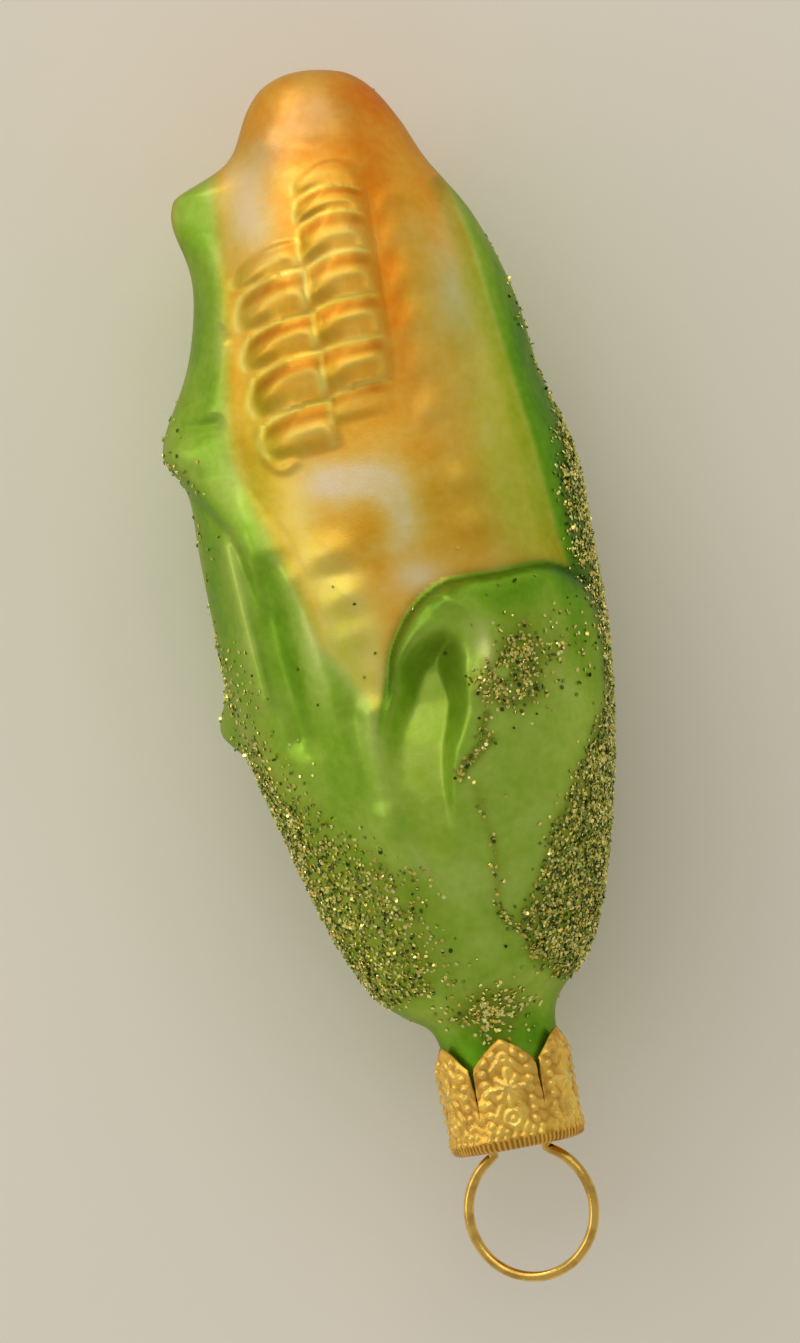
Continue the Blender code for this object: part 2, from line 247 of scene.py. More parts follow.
class NodeSheet:
    """A node tree under construction, with short calls for the nodes used here."""

    def __init__(self, tree: bpy.types.NodeTree) -> None:
        """Keep the tree that nodes are added to."""
        self.tree = tree

    def add(self, kind: str, **settings: object) -> bpy.types.Node:
        """Add a node and set its properties."""
        node = self.tree.nodes.new(kind)
        for key, value in settings.items():
            setattr(node, key, value)
        return node

    def feed(self, target: Socket, source: object) -> None:
        """Link a socket to a target, or set the target to a number or a colour."""
        if isinstance(source, Socket):
            self.tree.links.new(source, target)
        elif isinstance(source, tuple) and len(source) == 3 and target.type == "RGBA":
            target.default_value = (*source, 1.0)
        else:
            target.default_value = source

    def math(self, operation: str, first: object, second: object) -> Socket:
        """One arithmetic step on two numbers."""
        node = self.add("ShaderNodeMath", operation=operation)
        self.feed(node.inputs[0], first)
        self.feed(node.inputs[1], second)
        return node.outputs[0]

    def mix(self, share: object, first: object, second: object, blend: str = "MIX") -> Socket:
        """Mix two colours."""
        node = self.add("ShaderNodeMix", data_type="RGBA", blend_type=blend)
        self.feed(node.inputs[0], share)
        self.feed(node.inputs[6], first)
        self.feed(node.inputs[7], second)
        return node.outputs[2]

    def between(self, value: object, low: object, high: object, to_low: object = 0.0,
                to_high: object = 1.0) -> Socket:
        """Stretch a value from one range to another, and hold it there."""
        node = self.add("ShaderNodeMapRange", interpolation_type="SMOOTHSTEP")
        for socket, source in zip(node.inputs, (value, low, high, to_low, to_high)):
            self.feed(socket, source)
        return node.outputs[0]

    def noise(self, scale: object, detail: float = 3.0, rough: float = 0.5) -> Socket:
        """Soft noise in the object's own space; scale counts features to a metre."""
        place = self.add("ShaderNodeTexCoord")
        node = self.add("ShaderNodeTexNoise")
        self.feed(node.inputs["Vector"], place.outputs["Object"])
        self.feed(node.inputs["Scale"], scale)
        self.feed(node.inputs["Detail"], detail)
        self.feed(node.inputs["Roughness"], rough)
        return node.outputs[0]

    def mask(self, name: str) -> Socket:
        """A named value that the mesh carries."""
        return self.add("ShaderNodeAttribute", attribute_name=name).outputs["Fac"]

    def group(self, tree: bpy.types.NodeTree, output: str, **inputs: object) -> Socket:
        """Place a shared group, with its inputs by name, and return one of its outputs."""
        node = self.add("ShaderNodeGroup", node_tree=tree)
        for name, source in inputs.items():
            self.feed(node.inputs[name.replace("_", " ").capitalize()], source)
        return node.outputs[output]


def shared_group(name: str, inputs: dict[str, SocketKind], outputs: dict[str, SocketKind]
                 ) -> tuple[bpy.types.NodeTree, NodeSheet, dict, dict]:
    """Start a node group with named sockets.

    Args:
        name: Name of the group.
        inputs: Input sockets by name.
        outputs: Output sockets by name.

    Returns:
        The tree, a sheet to add nodes with, its inputs to read and its outputs to feed.
    """
    tree = bpy.data.node_groups.new(name, "ShaderNodeTree")
    for label, kind in inputs.items():
        tree.interface.new_socket(name=label, in_out="INPUT", socket_type=kind.value)
    for label, kind in outputs.items():
        tree.interface.new_socket(name=label, in_out="OUTPUT", socket_type=kind.value)
    sheet = NodeSheet(tree)
    source = sheet.add("NodeGroupInput")
    target = sheet.add("NodeGroupOutput")
    return tree, sheet, dict(source.outputs.items()), dict(target.inputs.items())


class Effects:
    """The surface effects that several finishes share, each a node group built once."""

    def __init__(self) -> None:
        """Build every group."""
        self.film = self._film()
        self.cloud = self._cloud()
        self.grain = self._grain()

    def _film(self) -> bpy.types.NodeTree:
        """Clear coloured lacquer over a ground: the deeper it lies, the more it tints."""
        inputs = {"Ground": SocketKind.COLOUR, "Tint": SocketKind.COLOUR, "Depth": SocketKind.VALUE}
        tree, sheet, given, out = shared_group("lacquer_film", inputs, {"Colour": SocketKind.COLOUR})
        passed = sheet.add("ShaderNodeGamma")
        sheet.feed(passed.inputs[0], given["Tint"])
        sheet.feed(passed.inputs[1], given["Depth"])
        sheet.feed(out["Colour"], sheet.mix(1.0, given["Ground"], passed.outputs[0], "MULTIPLY"))
        return tree

    def _cloud(self) -> bpy.types.NodeTree:
        """Soft uneven patches, from 1 - amount to 1 + amount."""
        inputs = {"Scale": SocketKind.VALUE, "Amount": SocketKind.VALUE}
        tree, sheet, given, out = shared_group("soft_cloud", inputs, {"Factor": SocketKind.VALUE})
        low = sheet.math("SUBTRACT", 1.0, given["Amount"])
        high = sheet.math("ADD", 1.0, given["Amount"])
        noise = sheet.noise(given["Scale"])
        sheet.feed(out["Factor"], sheet.between(noise, 0.3, 0.7, low, high))
        return tree

    def _grain(self) -> bpy.types.NodeTree:
        """Fine even grain as a height, and its high spots as a mask."""
        inputs = {"Scale": SocketKind.VALUE, "Amount": SocketKind.VALUE}
        outputs = {"Height": SocketKind.VALUE, "Specks": SocketKind.VALUE}
        tree, sheet, given, out = shared_group("fine_grain", inputs, outputs)
        noise = sheet.noise(given["Scale"], detail=2.0, rough=0.6)
        sheet.feed(out["Height"], sheet.math("MULTIPLY", noise, given["Amount"]))
        sheet.feed(out["Specks"], sheet.between(noise, 0.62, 0.75))
        return tree


@dataclass(frozen=True)
class Surface:
    """The fixed settings of a Principled surface."""

    metallic: float
    coat: float = 0.0
    coat_roughness: float = 0.2
    rim: Colour = (1.0, 1.0, 1.0)
    bump: float = 0.0

    def start(self, name: str) -> tuple[bpy.types.Material, NodeSheet, bpy.types.Node]:
        """Make a material with these settings.

        Args:
            name: Name of the material.

        Returns:
            The material, a sheet to add nodes with and its Principled shader.
        """
        material = bpy.data.materials.new(name)
        material.use_nodes = True
        shader = material.node_tree.nodes["Principled BSDF"]
        shader.inputs["Metallic"].default_value = self.metallic
        shader.inputs["Coat Weight"].default_value = self.coat
        shader.inputs["Coat Roughness"].default_value = self.coat_roughness
        shader.inputs["Specular Tint"].default_value = (*self.rim, 1.0)
        return material, NodeSheet(material.node_tree), shader

    def relief(self, sheet: NodeSheet, shader: bpy.types.Node, height: Socket) -> None:
        """Feed a fine height to the shader's normal."""
        node = sheet.add("ShaderNodeBump")
        sheet.feed(node.inputs["Strength"], self.bump)
        sheet.feed(node.inputs["Distance"], 0.1 * MM)
        sheet.feed(node.inputs["Height"], height)
        sheet.feed(shader.inputs["Normal"], node.outputs[0])


@dataclass(frozen=True)
class Finish:
    """A material: a Principled surface with a fine grain, whose grains are counted to a metre."""

    name: str
    surface: Surface
    grain: float

    def build(self, effects: Effects) -> bpy.types.Material:
        """Make the material.

        Args:
            effects: The shared node groups.

        Returns:
            The finished material.
        """
        material, sheet, shader = self.surface.start(self.name)
        self.dress(sheet, shader, effects)
        height = sheet.group(effects.grain, "Height", scale=self.grain, amount=1.0)
        self.surface.relief(sheet, shader, height)
        return material

    def dress(self, sheet: NodeSheet, shader: bpy.types.Node, effects: Effects) -> None:
        """Give the surface its colour and roughness."""
        raise NotImplementedError


@dataclass(frozen=True)
class LacqueredGlass(Finish):
    """Clear lacquers over silvered glass: yellow and orange on the cob, green on the husk, over silver
    darkened by painted shade.
    """

    name: str = "lacquered_glass"
    surface: Surface = Surface(0.72, coat=0.15, coat_roughness=0.3, rim=(0.4, 0.32, 0.2), bump=0.18)
    grain: float = 5200.0
    silver: Colour = (0.95, 0.90, 0.80)
    yellow: Colour = (0.97, 0.82, 0.10)
    orange: Colour = (0.94, 0.39, 0.085)
    green: Colour = (0.37, 0.65, 0.085)
    # shade: the colour of painted shade, mixed into the silver by the shade mask
    shade: Colour = (0.45, 0.50, 0.40)

    def dress(self, sheet: NodeSheet, shader: bpy.types.Node, effects: Effects) -> None:
        """Darken the silver with painted shade, lay the three films over it, each a little uneven, and leave
        them satin.
        """
        broad = sheet.group(effects.cloud, "Factor", scale=230.0, amount=0.14)
        small = sheet.group(effects.cloud, "Factor", scale=1100.0, amount=0.08)
        uneven = sheet.math("MULTIPLY", broad, small)
        colour = sheet.mix(sheet.mask("shade"), self.silver, self.shade, "MULTIPLY")
        for name, tint in (("yellow", self.yellow), ("orange", self.orange), ("green", self.green)):
            depth = sheet.math("MULTIPLY", sheet.mask(name), uneven)
            colour = sheet.group(effects.film, "Colour", ground=colour, tint=tint, depth=depth)
        sheet.feed(shader.inputs["Base Color"], colour)
        satin = sheet.group(effects.cloud, "Factor", scale=420.0, amount=0.1)
        sheet.feed(shader.inputs["Roughness"], sheet.math("MULTIPLY", satin, 0.4))


@dataclass(frozen=True)
class GlitterFlake(Finish):
    """Metallic flakes, each from dark green by way of green and gold to pale gold."""

    name: str = "glitter_flakes"
    surface: Surface = Surface(metallic=1.0, coat=0.3, coat_roughness=0.1, bump=0.1)
    grain: float = 9000.0
    dark: Colour = (0.045, 0.075, 0.012)
    green: Colour = (0.26, 0.36, 0.06)
    gold: Colour = (0.80, 0.66, 0.15)
    pale: Colour = (0.97, 0.90, 0.36)

    def dress(self, sheet: NodeSheet, shader: bpy.types.Node, effects: Effects) -> None:
        """Colour each flake by its tone; the paler it is, the brighter it shines."""
        tone = sheet.mask("tone")
        colour = sheet.mix(sheet.between(tone, 0.05, 0.40), self.dark, self.green)
        colour = sheet.mix(sheet.between(tone, 0.45, 0.75), colour, self.gold)
        colour = sheet.mix(sheet.between(tone, 0.80, 1.00), colour, self.pale)
        cloud = sheet.group(effects.cloud, "Factor", scale=900.0, amount=0.2)
        tinted = sheet.mix(1.0, colour, cloud, "MULTIPLY")
        sheet.feed(shader.inputs["Base Color"], tinted)
        sheet.feed(shader.inputs["Roughness"], sheet.between(tone, 0.0, 1.0, 0.42, 0.18))


@dataclass(frozen=True)
class StampedGold(Finish):
    """Thin gold-washed sheet, with painted highlights on the raised relief and painted shade in its hollows.
    """

    name: str = "cap_gold"
    surface: Surface = Surface(metallic=0.75, bump=0.3)
    grain: float = 3800.0
    raised_highlight: Colour = (1.0, 0.7, 0.16)
    body: Colour = (1.0, 0.61, 0.1)
    # hollow: the colour of painted shade in the stamped hollows
    hollow: Colour = (0.5, 0.23, 0.025)

    def dress(self, sheet: NodeSheet, shader: bpy.types.Node, effects: Effects) -> None:
        """Lay painted shade in the hollows and painted highlights on the raised parts, and wear the shine
        unevenly.
        """
        raised = sheet.mask("raised")
        colour = sheet.mix(sheet.between(raised, -0.6, 0.0), self.hollow, self.body)
        colour = sheet.mix(sheet.between(raised, 0.1, 0.9), colour, self.raised_highlight)
        cloud = sheet.group(effects.cloud, "Factor", scale=600.0, amount=0.15)
        sheet.feed(shader.inputs["Base Color"], sheet.mix(1.0, colour, cloud, "MULTIPLY"))
        worn = sheet.group(effects.cloud, "Factor", scale=1500.0, amount=0.25)
        sheet.feed(shader.inputs["Roughness"], sheet.math("MULTIPLY", worn, 0.28))


@dataclass(frozen=True)
class BrassWire(Finish):
    """Drawn brass wire, a little dulled in patches."""

    name: str = "wire_brass"
    surface: Surface = Surface(metallic=1.0, bump=0.12)
    grain: float = 4200.0
    clean: Colour = (0.88, 0.58, 0.14)
    dull: Colour = (0.58, 0.36, 0.075)

    def dress(self, sheet: NodeSheet, shader: bpy.types.Node, effects: Effects) -> None:
        """Dull the wire in patches."""
        patches = sheet.between(sheet.noise(500.0, detail=4.0), 0.42, 0.66)
        sheet.feed(shader.inputs["Base Color"], sheet.mix(patches, self.clean, self.dull))
        sheet.feed(shader.inputs["Roughness"], sheet.between(patches, 0.0, 1.0, 0.15, 0.28))


@dataclass(frozen=True)
class PaleBoard(Finish):
    """The matt pale board that the ornament lies on."""

    name: str = "pale_board"
    surface: Surface = Surface(metallic=0.0, bump=0.05)
    grain: float = 3000.0
    pale: Colour = (0.93, 0.885, 0.80)
    grey: Colour = (0.90, 0.87, 0.79)

    def dress(self, sheet: NodeSheet, shader: bpy.types.Node, effects: Effects) -> None:
        """Mottle the board faintly, with specks that shine a little."""
        patches = sheet.between(sheet.noise(14.0, detail=2.0), 0.3, 0.7)
        sheet.feed(shader.inputs["Base Color"], sheet.mix(patches, self.pale, self.grey))
        specks = sheet.group(effects.grain, "Specks", scale=2500.0, amount=1.0)
        sheet.feed(shader.inputs["Roughness"], sheet.between(specks, 0.0, 1.0, 0.85, 0.7))


# ---- Relief of the glass ----


@dataclass(frozen=True)
class Fold:
    """A soft ridge, or a groove where its height is below 0, along a route."""

    height: float
    half: float
    route: Route

    def relief(self, across: Grid, along: Grid) -> Grid:
        """Height that the fold adds at each place."""
        return self.height * bell(route_distance(across, along, smooth_route(self.route)), self.half)


@dataclass(frozen=True)
class Bump:
    """An oval swelling, or a dent where its height is below 0, turned by some degrees."""

    height: float
    across: float
    along: float
    half_across: float
    half_along: float
    turn: float = 0.0

    def relief(self, across: Grid, along: Grid) -> Grid:
        """Height that the swelling adds at each place."""
        angle = math.radians(self.turn)
        x = across - self.across
        y = along - self.along
        u = (x * math.cos(angle) + y * math.sin(angle)) / self.half_across
        v = (y * math.cos(angle) - x * math.sin(angle)) / self.half_along
        return self.height * np.exp(-u * u - v * v)


@dataclass(frozen=True)
class Overlap:
    """A leaf that lies over what is beside it, past an edge that runs along the ornament."""

    height: float
    width: float
    edge: Route
    past: int

    def relief(self, across: Grid, along: Grid) -> Grid:
        """Height that the leaf adds at each place; past is 1 to the right of the edge or -1 left."""
        beyond = self.past * (across - look_up(along, self.edge))
        return self.height * fade(beyond, -0.5 * self.width, 0.5 * self.width)


@dataclass(frozen=True)
class Flap:
    """A leaf's edge that stands up to the right of a crease and sinks back beyond its reach."""

    height: float
    reach: float
    crease: Route
    run: tuple[float, float, float, float]

    def relief(self, across: Grid, along: Grid) -> Grid:
        """Height that the flap adds at each place."""
        low, low_full, high_full, high = self.run
        beyond = across - look_up(along, self.crease)
        rise = fade(beyond, -0.55, 0.55) * fade(beyond, self.reach, 0.7)
        return self.height * rise * fade(along, low, low_full) * fade(along, high, high_full)


Feature = Fold | Bump | Overlap | Flap


@dataclass(frozen=True)
class KernelColumn:
    """Pillow-shaped kernels one above another, each with a rounded crown and a steep upper end.

    left and right hold (along, across) of the column's edges. Each valley is a groove between
    kernels, as its place along at the column's left edge, middle and right edge. ends are the
    widths of the kernels' rounded left and right ends. crown_at, late, top and groove_at are
    shares of the way up a kernel, and filled and hook_at shares of the way across the column.
    """

    left: Route
    right: Route
    valleys: tuple[tuple[float, float, float], ...]
    heights: tuple[float, ...]
    crown_at: tuple[float, ...]
    ends: Span
    late: float = 0.76
    fill: float = 0.7
    filled: Span = (0.12, 0.5)
    top: float = 0.98
    scallop: float = 0.8
    pitch: float = 4.1
    groove_at: float = 0.95
    groove_half: float = 0.36
    seam_half: float = 0.45
    stroke: float = 0.13
    stroke_half: float = 0.11
    stroke_lift: float = 0.1
    hook: float = 0.22
    hook_at: float = 0.7
    hook_slant: float = 1.6

    def places(self, across: Grid, along: Grid) -> tuple[Grid, ...]:
        """Where each place lies among the kernels.

        Args:
            across: Places across.
            along: Places along.

        Returns:
            The number of kernels passed on the way up, the share of the way up the kernel, the
            roundness of its ends from 0 to 1, the distance to the right of its left edge and
            the share of the way across the column.
        """
        left, right = look_up(along, self.left), look_up(along, self.right)
        u = np.clip((across - left) / (right - left), -0.1, 1.1)
        lines = []
        for low, middle, high in self.valleys:
            lines.append(middle + (high - low) * (u - 0.5) + (low + high - 2 * middle) * 2 * (u - 0.5) ** 2)
        rows = sum(np.clip((along - a) / (b - a), 0.0, 1.0) for a, b in zip(lines[:-1], lines[1:]))
        up = rows - np.minimum(np.floor(rows), len(self.heights) - 1)
        edge = left - self.scallop * np.sin(math.pi * up)
        first = np.sin(0.5 * math.pi * np.clip((across - edge) / self.ends[0], 0.0, 1.0))
        last = np.sin(0.5 * math.pi * np.clip((right - across) / self.ends[1], 0.0, 1.0))
        return rows, up, first * last, across - edge, u

    def each(self, values: tuple[float, ...], rows: Grid) -> Grid:
        """The value of the kernel that each place lies on."""
        return np.array(values)[np.minimum(rows.astype(int), len(values) - 1)]

    def within(self, rows: Grid, first: Span, last: Span) -> Grid:
        """1 among the kernels, fading out over the first and the last so many of them."""
        return fade(rows, *first) * fade(len(self.heights) - rows, *last)

    def relief(self, across: Grid, along: Grid) -> Grid:
        """Height that the kernels add at each place."""
        rows, up, ends, _, u = self.places(across, along)
        crown = self.each(self.crown_at, rows)
        steep = crown + (self.late - crown) * fade(u, *self.filled)
        pillow = fade(up, 0.0, crown) * fade(up, self.top, steep)
        filled = self.fill * fade(u, *self.filled) * self.within(rows, (0.0, 0.4), (0.0, 0.4))
        height = self.each(self.heights, rows)
        stroke = self.stroke * self.crowns(across, along)
        return height * ends * (filled + (1 - filled) * pillow) + stroke

    def groove_highlights(self, across: Grid, along: Grid) -> Grid:
        """How near each place is to a groove or to the seam on the left, from 0 to 1, where painted
        highlights lie.
        """
        rows, up, ends, edge, _ = self.places(across, along)
        away = self.pitch * np.minimum(up + 1 - self.groove_at, np.abs(up - self.groove_at))
        groove = bell(away, self.groove_half) * fade(ends, 0.1, 0.5)
        seam = bell(edge, self.seam_half) * fade(up, 0.1, 0.35)
        return np.maximum(groove * self.within(rows, (0.3, 0.7), (0.3, 0.7)),
                          seam * self.within(rows, (0.0, 0.3), (0.1, 0.5)))

    def upper_end_shade(self, across: Grid, along: Grid) -> Grid:
        """How far each place lies on a kernel's steep upper end, from 0 to 1, where painted shade lies."""
        rows, up, ends, _, _ = self.places(across, along)
        last = fade(len(self.heights) - rows, 0.0, 1.0)
        return fade(up, 0.56, 0.76) * fade(up, self.top, 0.9) * fade(ends, 0.1, 0.7) * last

    def crowns(self, across: Grid, along: Grid) -> Grid:
        """How near each place is to a kernel's crown, which hooks down at its right end, 0 to 1; it lifts a
        thin stroke and carries a painted highlight.
        """
        rows, up, _, _, u = self.places(across, along)
        below = self.each(self.crown_at, rows) + self.stroke_lift - up
        past = self.hook_slant * np.clip(u - self.hook_at, 0.0, None)
        away = np.abs(np.hypot(past, np.clip(self.hook - below, 0.0, None)) - self.hook)
        tall = fade(self.each(self.heights, rows), 0.2, 0.6)
        return bell(away, self.stroke_half) * fade(u, 0.1, 0.4) * fade(up, 0.0, 0.12) * tall

    def flank_shade(self, across: Grid, along: Grid) -> Grid:
        """How far each place lies on a kernel's lower and left side, from 0 to 1, where painted shade lies.
        """
        rows, up, ends, edge, u = self.places(across, along)
        low = fade(up, 0.04, 0.2) * fade(up, self.each(self.crown_at, rows), 0.28) * fade(u, 0.8, 0.35)
        left = fade(edge, 0.15, 0.6) * fade(edge, 2.6, 1.0) * fade(up, 0.06, 0.25) * fade(up, 0.96, 0.8)
        return np.maximum(0.7 * low * fade(ends, 0.2, 0.8), left)


@dataclass(frozen=True)
class FrontLeaf:
    """The broad leaf folded over the lower front, with the pocket under its curled tip.

    lap is how far its cover reaches past its outline, or twice that below the span eased. edges
    hold (along, width) of its rounded edge, depths (along, depth) of the pocket's floor below
    the leaf and walls (along, width) of the pocket's walls. line and crest place the painted
    shade along its upper edge and along the crest inside it, as (distance in, half width).
    """

    outline: Route = (
        (-2.2, 26.0), (-4.4, 31.0), (-5.3, 36.0), (-5.6, 40.6), (-4.3, 44.2), (-3.2, 48.0),
        (-1.4, 50.9), (0.5, 52.7), (2.6, 53.7), (5.0, 54.0), (8.0, 53.9), (12.0, 54.0), (14.2, 53.2),
        (16.2, 51.4), (17.6, 48.6), (22.0, 40.0), (22.0, 20.0), (12.0, 12.0), (3.0, 16.0),
    )
    height: float = 3.5
    run: Span = (12.0, 42.0)
    left_drop: float = 0.65
    lap: float = 0.3
    eased: Span = (47.0, 43.0)
    edges: Route = ((26.0, 4.5), (34.0, 2.6), (40.0, 0.9), (44.0, 0.5))
    line: Span = (0.1, 0.7)
    crest: Span = (1.0, 0.8)
    pocket: Route = (
        (-3.2, 27.0), (-4.6, 31.0), (-5.4, 36.0), (-5.7, 40.6), (-4.4, 44.2), (-3.1, 47.2),
        (-1.2, 49.4), (0.8, 50.3), (2.8, 50.2), (4.1, 49.0), (4.3, 47.0), (3.8, 45.2), (3.5, 42.8),
        (3.3, 41.6), (2.2, 39.4), (1.4, 38.0), (0.8, 36.0), (0.4, 34.0), (0.0, 31.0), (-0.5, 28.0),
    )
    depths: Route = (
        (27.5, 0.0), (31.0, 0.4), (34.0, 1.4), (38.0, 3.1), (43.0, 5.1), (46.0, 5.7), (49.0, 5.2),
    )
    walls: Route = ((27.0, 0.9), (33.0, 1.1), (38.0, 1.7), (43.0, 2.5), (46.0, 3.2), (49.0, 4.4))
    steep_left: float = 0.2

    def inside(self, across: Grid, along: Grid) -> Grid:
        """Distance in from the leaf's edge, and less than 0 outside it."""
        return depth_inside(across, along, smooth_route(self.outline, closed=True))

    def hollow(self, across: Grid, along: Grid) -> Grid:
        """Distance in from the pocket's rim, and less than 0 outside it."""
        return depth_inside(across, along, smooth_route(self.pocket, closed=True))

    def full(self, along: Grid) -> Grid:
        """Height of the leaf away from its edges."""
        return self.height * fade(along, *self.run)

    def cover(self, across: Grid, along: Grid) -> Grid:
        """1 on the leaf and 0 off it, with a narrow soft edge."""
        reach = self.lap * (1 + fade(along, *self.eased))
        return fade(self.inside(across, along) + reach, -0.2, 0.3)

    def edge_shade(self, across: Grid, along: Grid) -> Grid:
        """How near each place is to the line where the leaf's upper edge meets the cob, and to the crest
        inside it, where painted shade lies.
        """
        inside = self.inside(across, along)
        line = bell(inside - self.line[0], self.line[1]) * fade(along, 38.0, 47.0)
        crest = bell(inside - self.crest[0], self.crest[1]) * fade(along, 43.0, 48.0)
        return np.maximum(line, 0.5 * crest * fade(across, 7.0, 3.0))

    def relief(self, across: Grid, along: Grid) -> Grid:
        """Height that the leaf adds at each place."""
        rounded = 1 - np.exp(-np.clip(self.inside(across, along), 0.0, None) / look_up(along, self.edges))
        full = self.full(along)
        low_side = self.left_drop * fade(across, -0.5, -4.0) * fade(along, 49.0, 44.0)
        narrow = 1 + self.steep_left * fade(across, 0.5, -2.5) * fade(along, 47.5, 43.5)
        share = fade(self.hollow(across, along) / (look_up(along, self.walls) * narrow), 0.0, 1.0)
        depth = np.clip(look_up(along, self.depths) - full * low_side, 0.0, None)
        return full * (1 - low_side) * rounded - depth * share

    def beneath(self, across: Grid, along: Grid, clear: float) -> Grid:
        """How far the inner skin drops to stay a clear distance under the pocket."""
        drop = np.clip(look_up(along, self.depths) - self.full(along), 0.0, None)
        return (drop + clear) * fade(self.hollow(across, along), -2.2, -0.8) * fade(along, 28.0, 32.0)


@dataclass(frozen=True)
class Lobe:
    """A leaf tip or curled edge that stands out at a side."""

    height: float
    angle: float
    half_angle: float
    along: float
    reach_down: float
    reach_up: float

    def relief(self, angle: Grid, along: Grid) -> Grid:
        """How far it stands out at each angle and place along."""
        reach = np.where(along < self.along, self.reach_down, self.reach_up)
        turn = (angle - math.radians(self.angle)) / math.radians(self.half_angle)
        return self.height * np.exp(-turn * turn - ((along - self.along) / reach) ** 2)


class Coat(Enum):
    """The coats that the glass carries, and its painted shade, as masks on its mesh."""

    YELLOW = "yellow"
    ORANGE = "orange"
    GREEN = "green"
    # painted shade, not a coat: how far the silver is darkened
    SHADE = "shade"


LEFT_KERNELS = KernelColumn(
    left=((66.0, -9.6), (68.0, -10.3), (70.0, -10.9), (76.0, -11.0), (82.0, -10.8), (88.0, -10.6)),
    right=((66.0, -3.6), (72.0, -3.8), (78.0, -3.7), (88.0, -4.2)),
    valleys=((67.4, 67.7, 68.0), (71.6, 72.6, 72.6), (76.1, 77.2, 77.3), (79.9, 80.9, 80.9),
             (84.1, 85.1, 85.2), (87.0, 88.2, 88.4)),
    heights=(0.7, 1.0, 0.85, 1.0, 0.6), crown_at=(0.4, 0.54, 0.46, 0.42, 0.36), ends=(2.6, 2.4),
)
MIDDLE_KERNELS = KernelColumn(
    left=((66.0, -4.3), (72.0, -4.5), (78.0, -4.4), (88.0, -4.5), (95.0, -3.8)),
    right=((69.0, 1.2), (76.0, 2.4), (88.0, 2.6), (95.0, 3.0)),
    valleys=((69.6, 70.2, 70.0), (72.8, 73.6, 73.5), (77.4, 77.8, 77.7), (81.2, 81.9, 81.5),
             (85.1, 86.3, 85.5), (89.2, 90.2, 89.0), (91.8, 92.6, 91.4), (94.2, 95.2, 94.0)),
    heights=(0.2, 0.65, 0.7, 0.8, 0.75, 0.6, 0.35),
    crown_at=(0.4, 0.42, 0.46, 0.4, 0.34, 0.3, 0.35), ends=(1.6, 3.4), fill=0.8,
    scallop=0.2, seam_half=0.3,
)
RIGHT_KERNELS = KernelColumn(
    left=((68.0, 3.0), (95.0, 3.4)), right=((68.0, 8.4), (95.0, 7.6)),
    valleys=((67.6, 68.4, 68.6), (71.9, 72.8, 72.2), (76.2, 77.0, 76.4), (80.4, 81.2, 80.4),
             (84.8, 85.4, 84.6), (88.6, 89.4, 88.6), (91.6, 92.2, 91.4)),
    heights=(0.25, 0.15, 0.2, 0.25, 0.2, 0.3), crown_at=(0.45,) * 6, ends=(2.6, 2.8), fill=0.3,
    scallop=0.0, stroke=0.0, late=0.45,
)


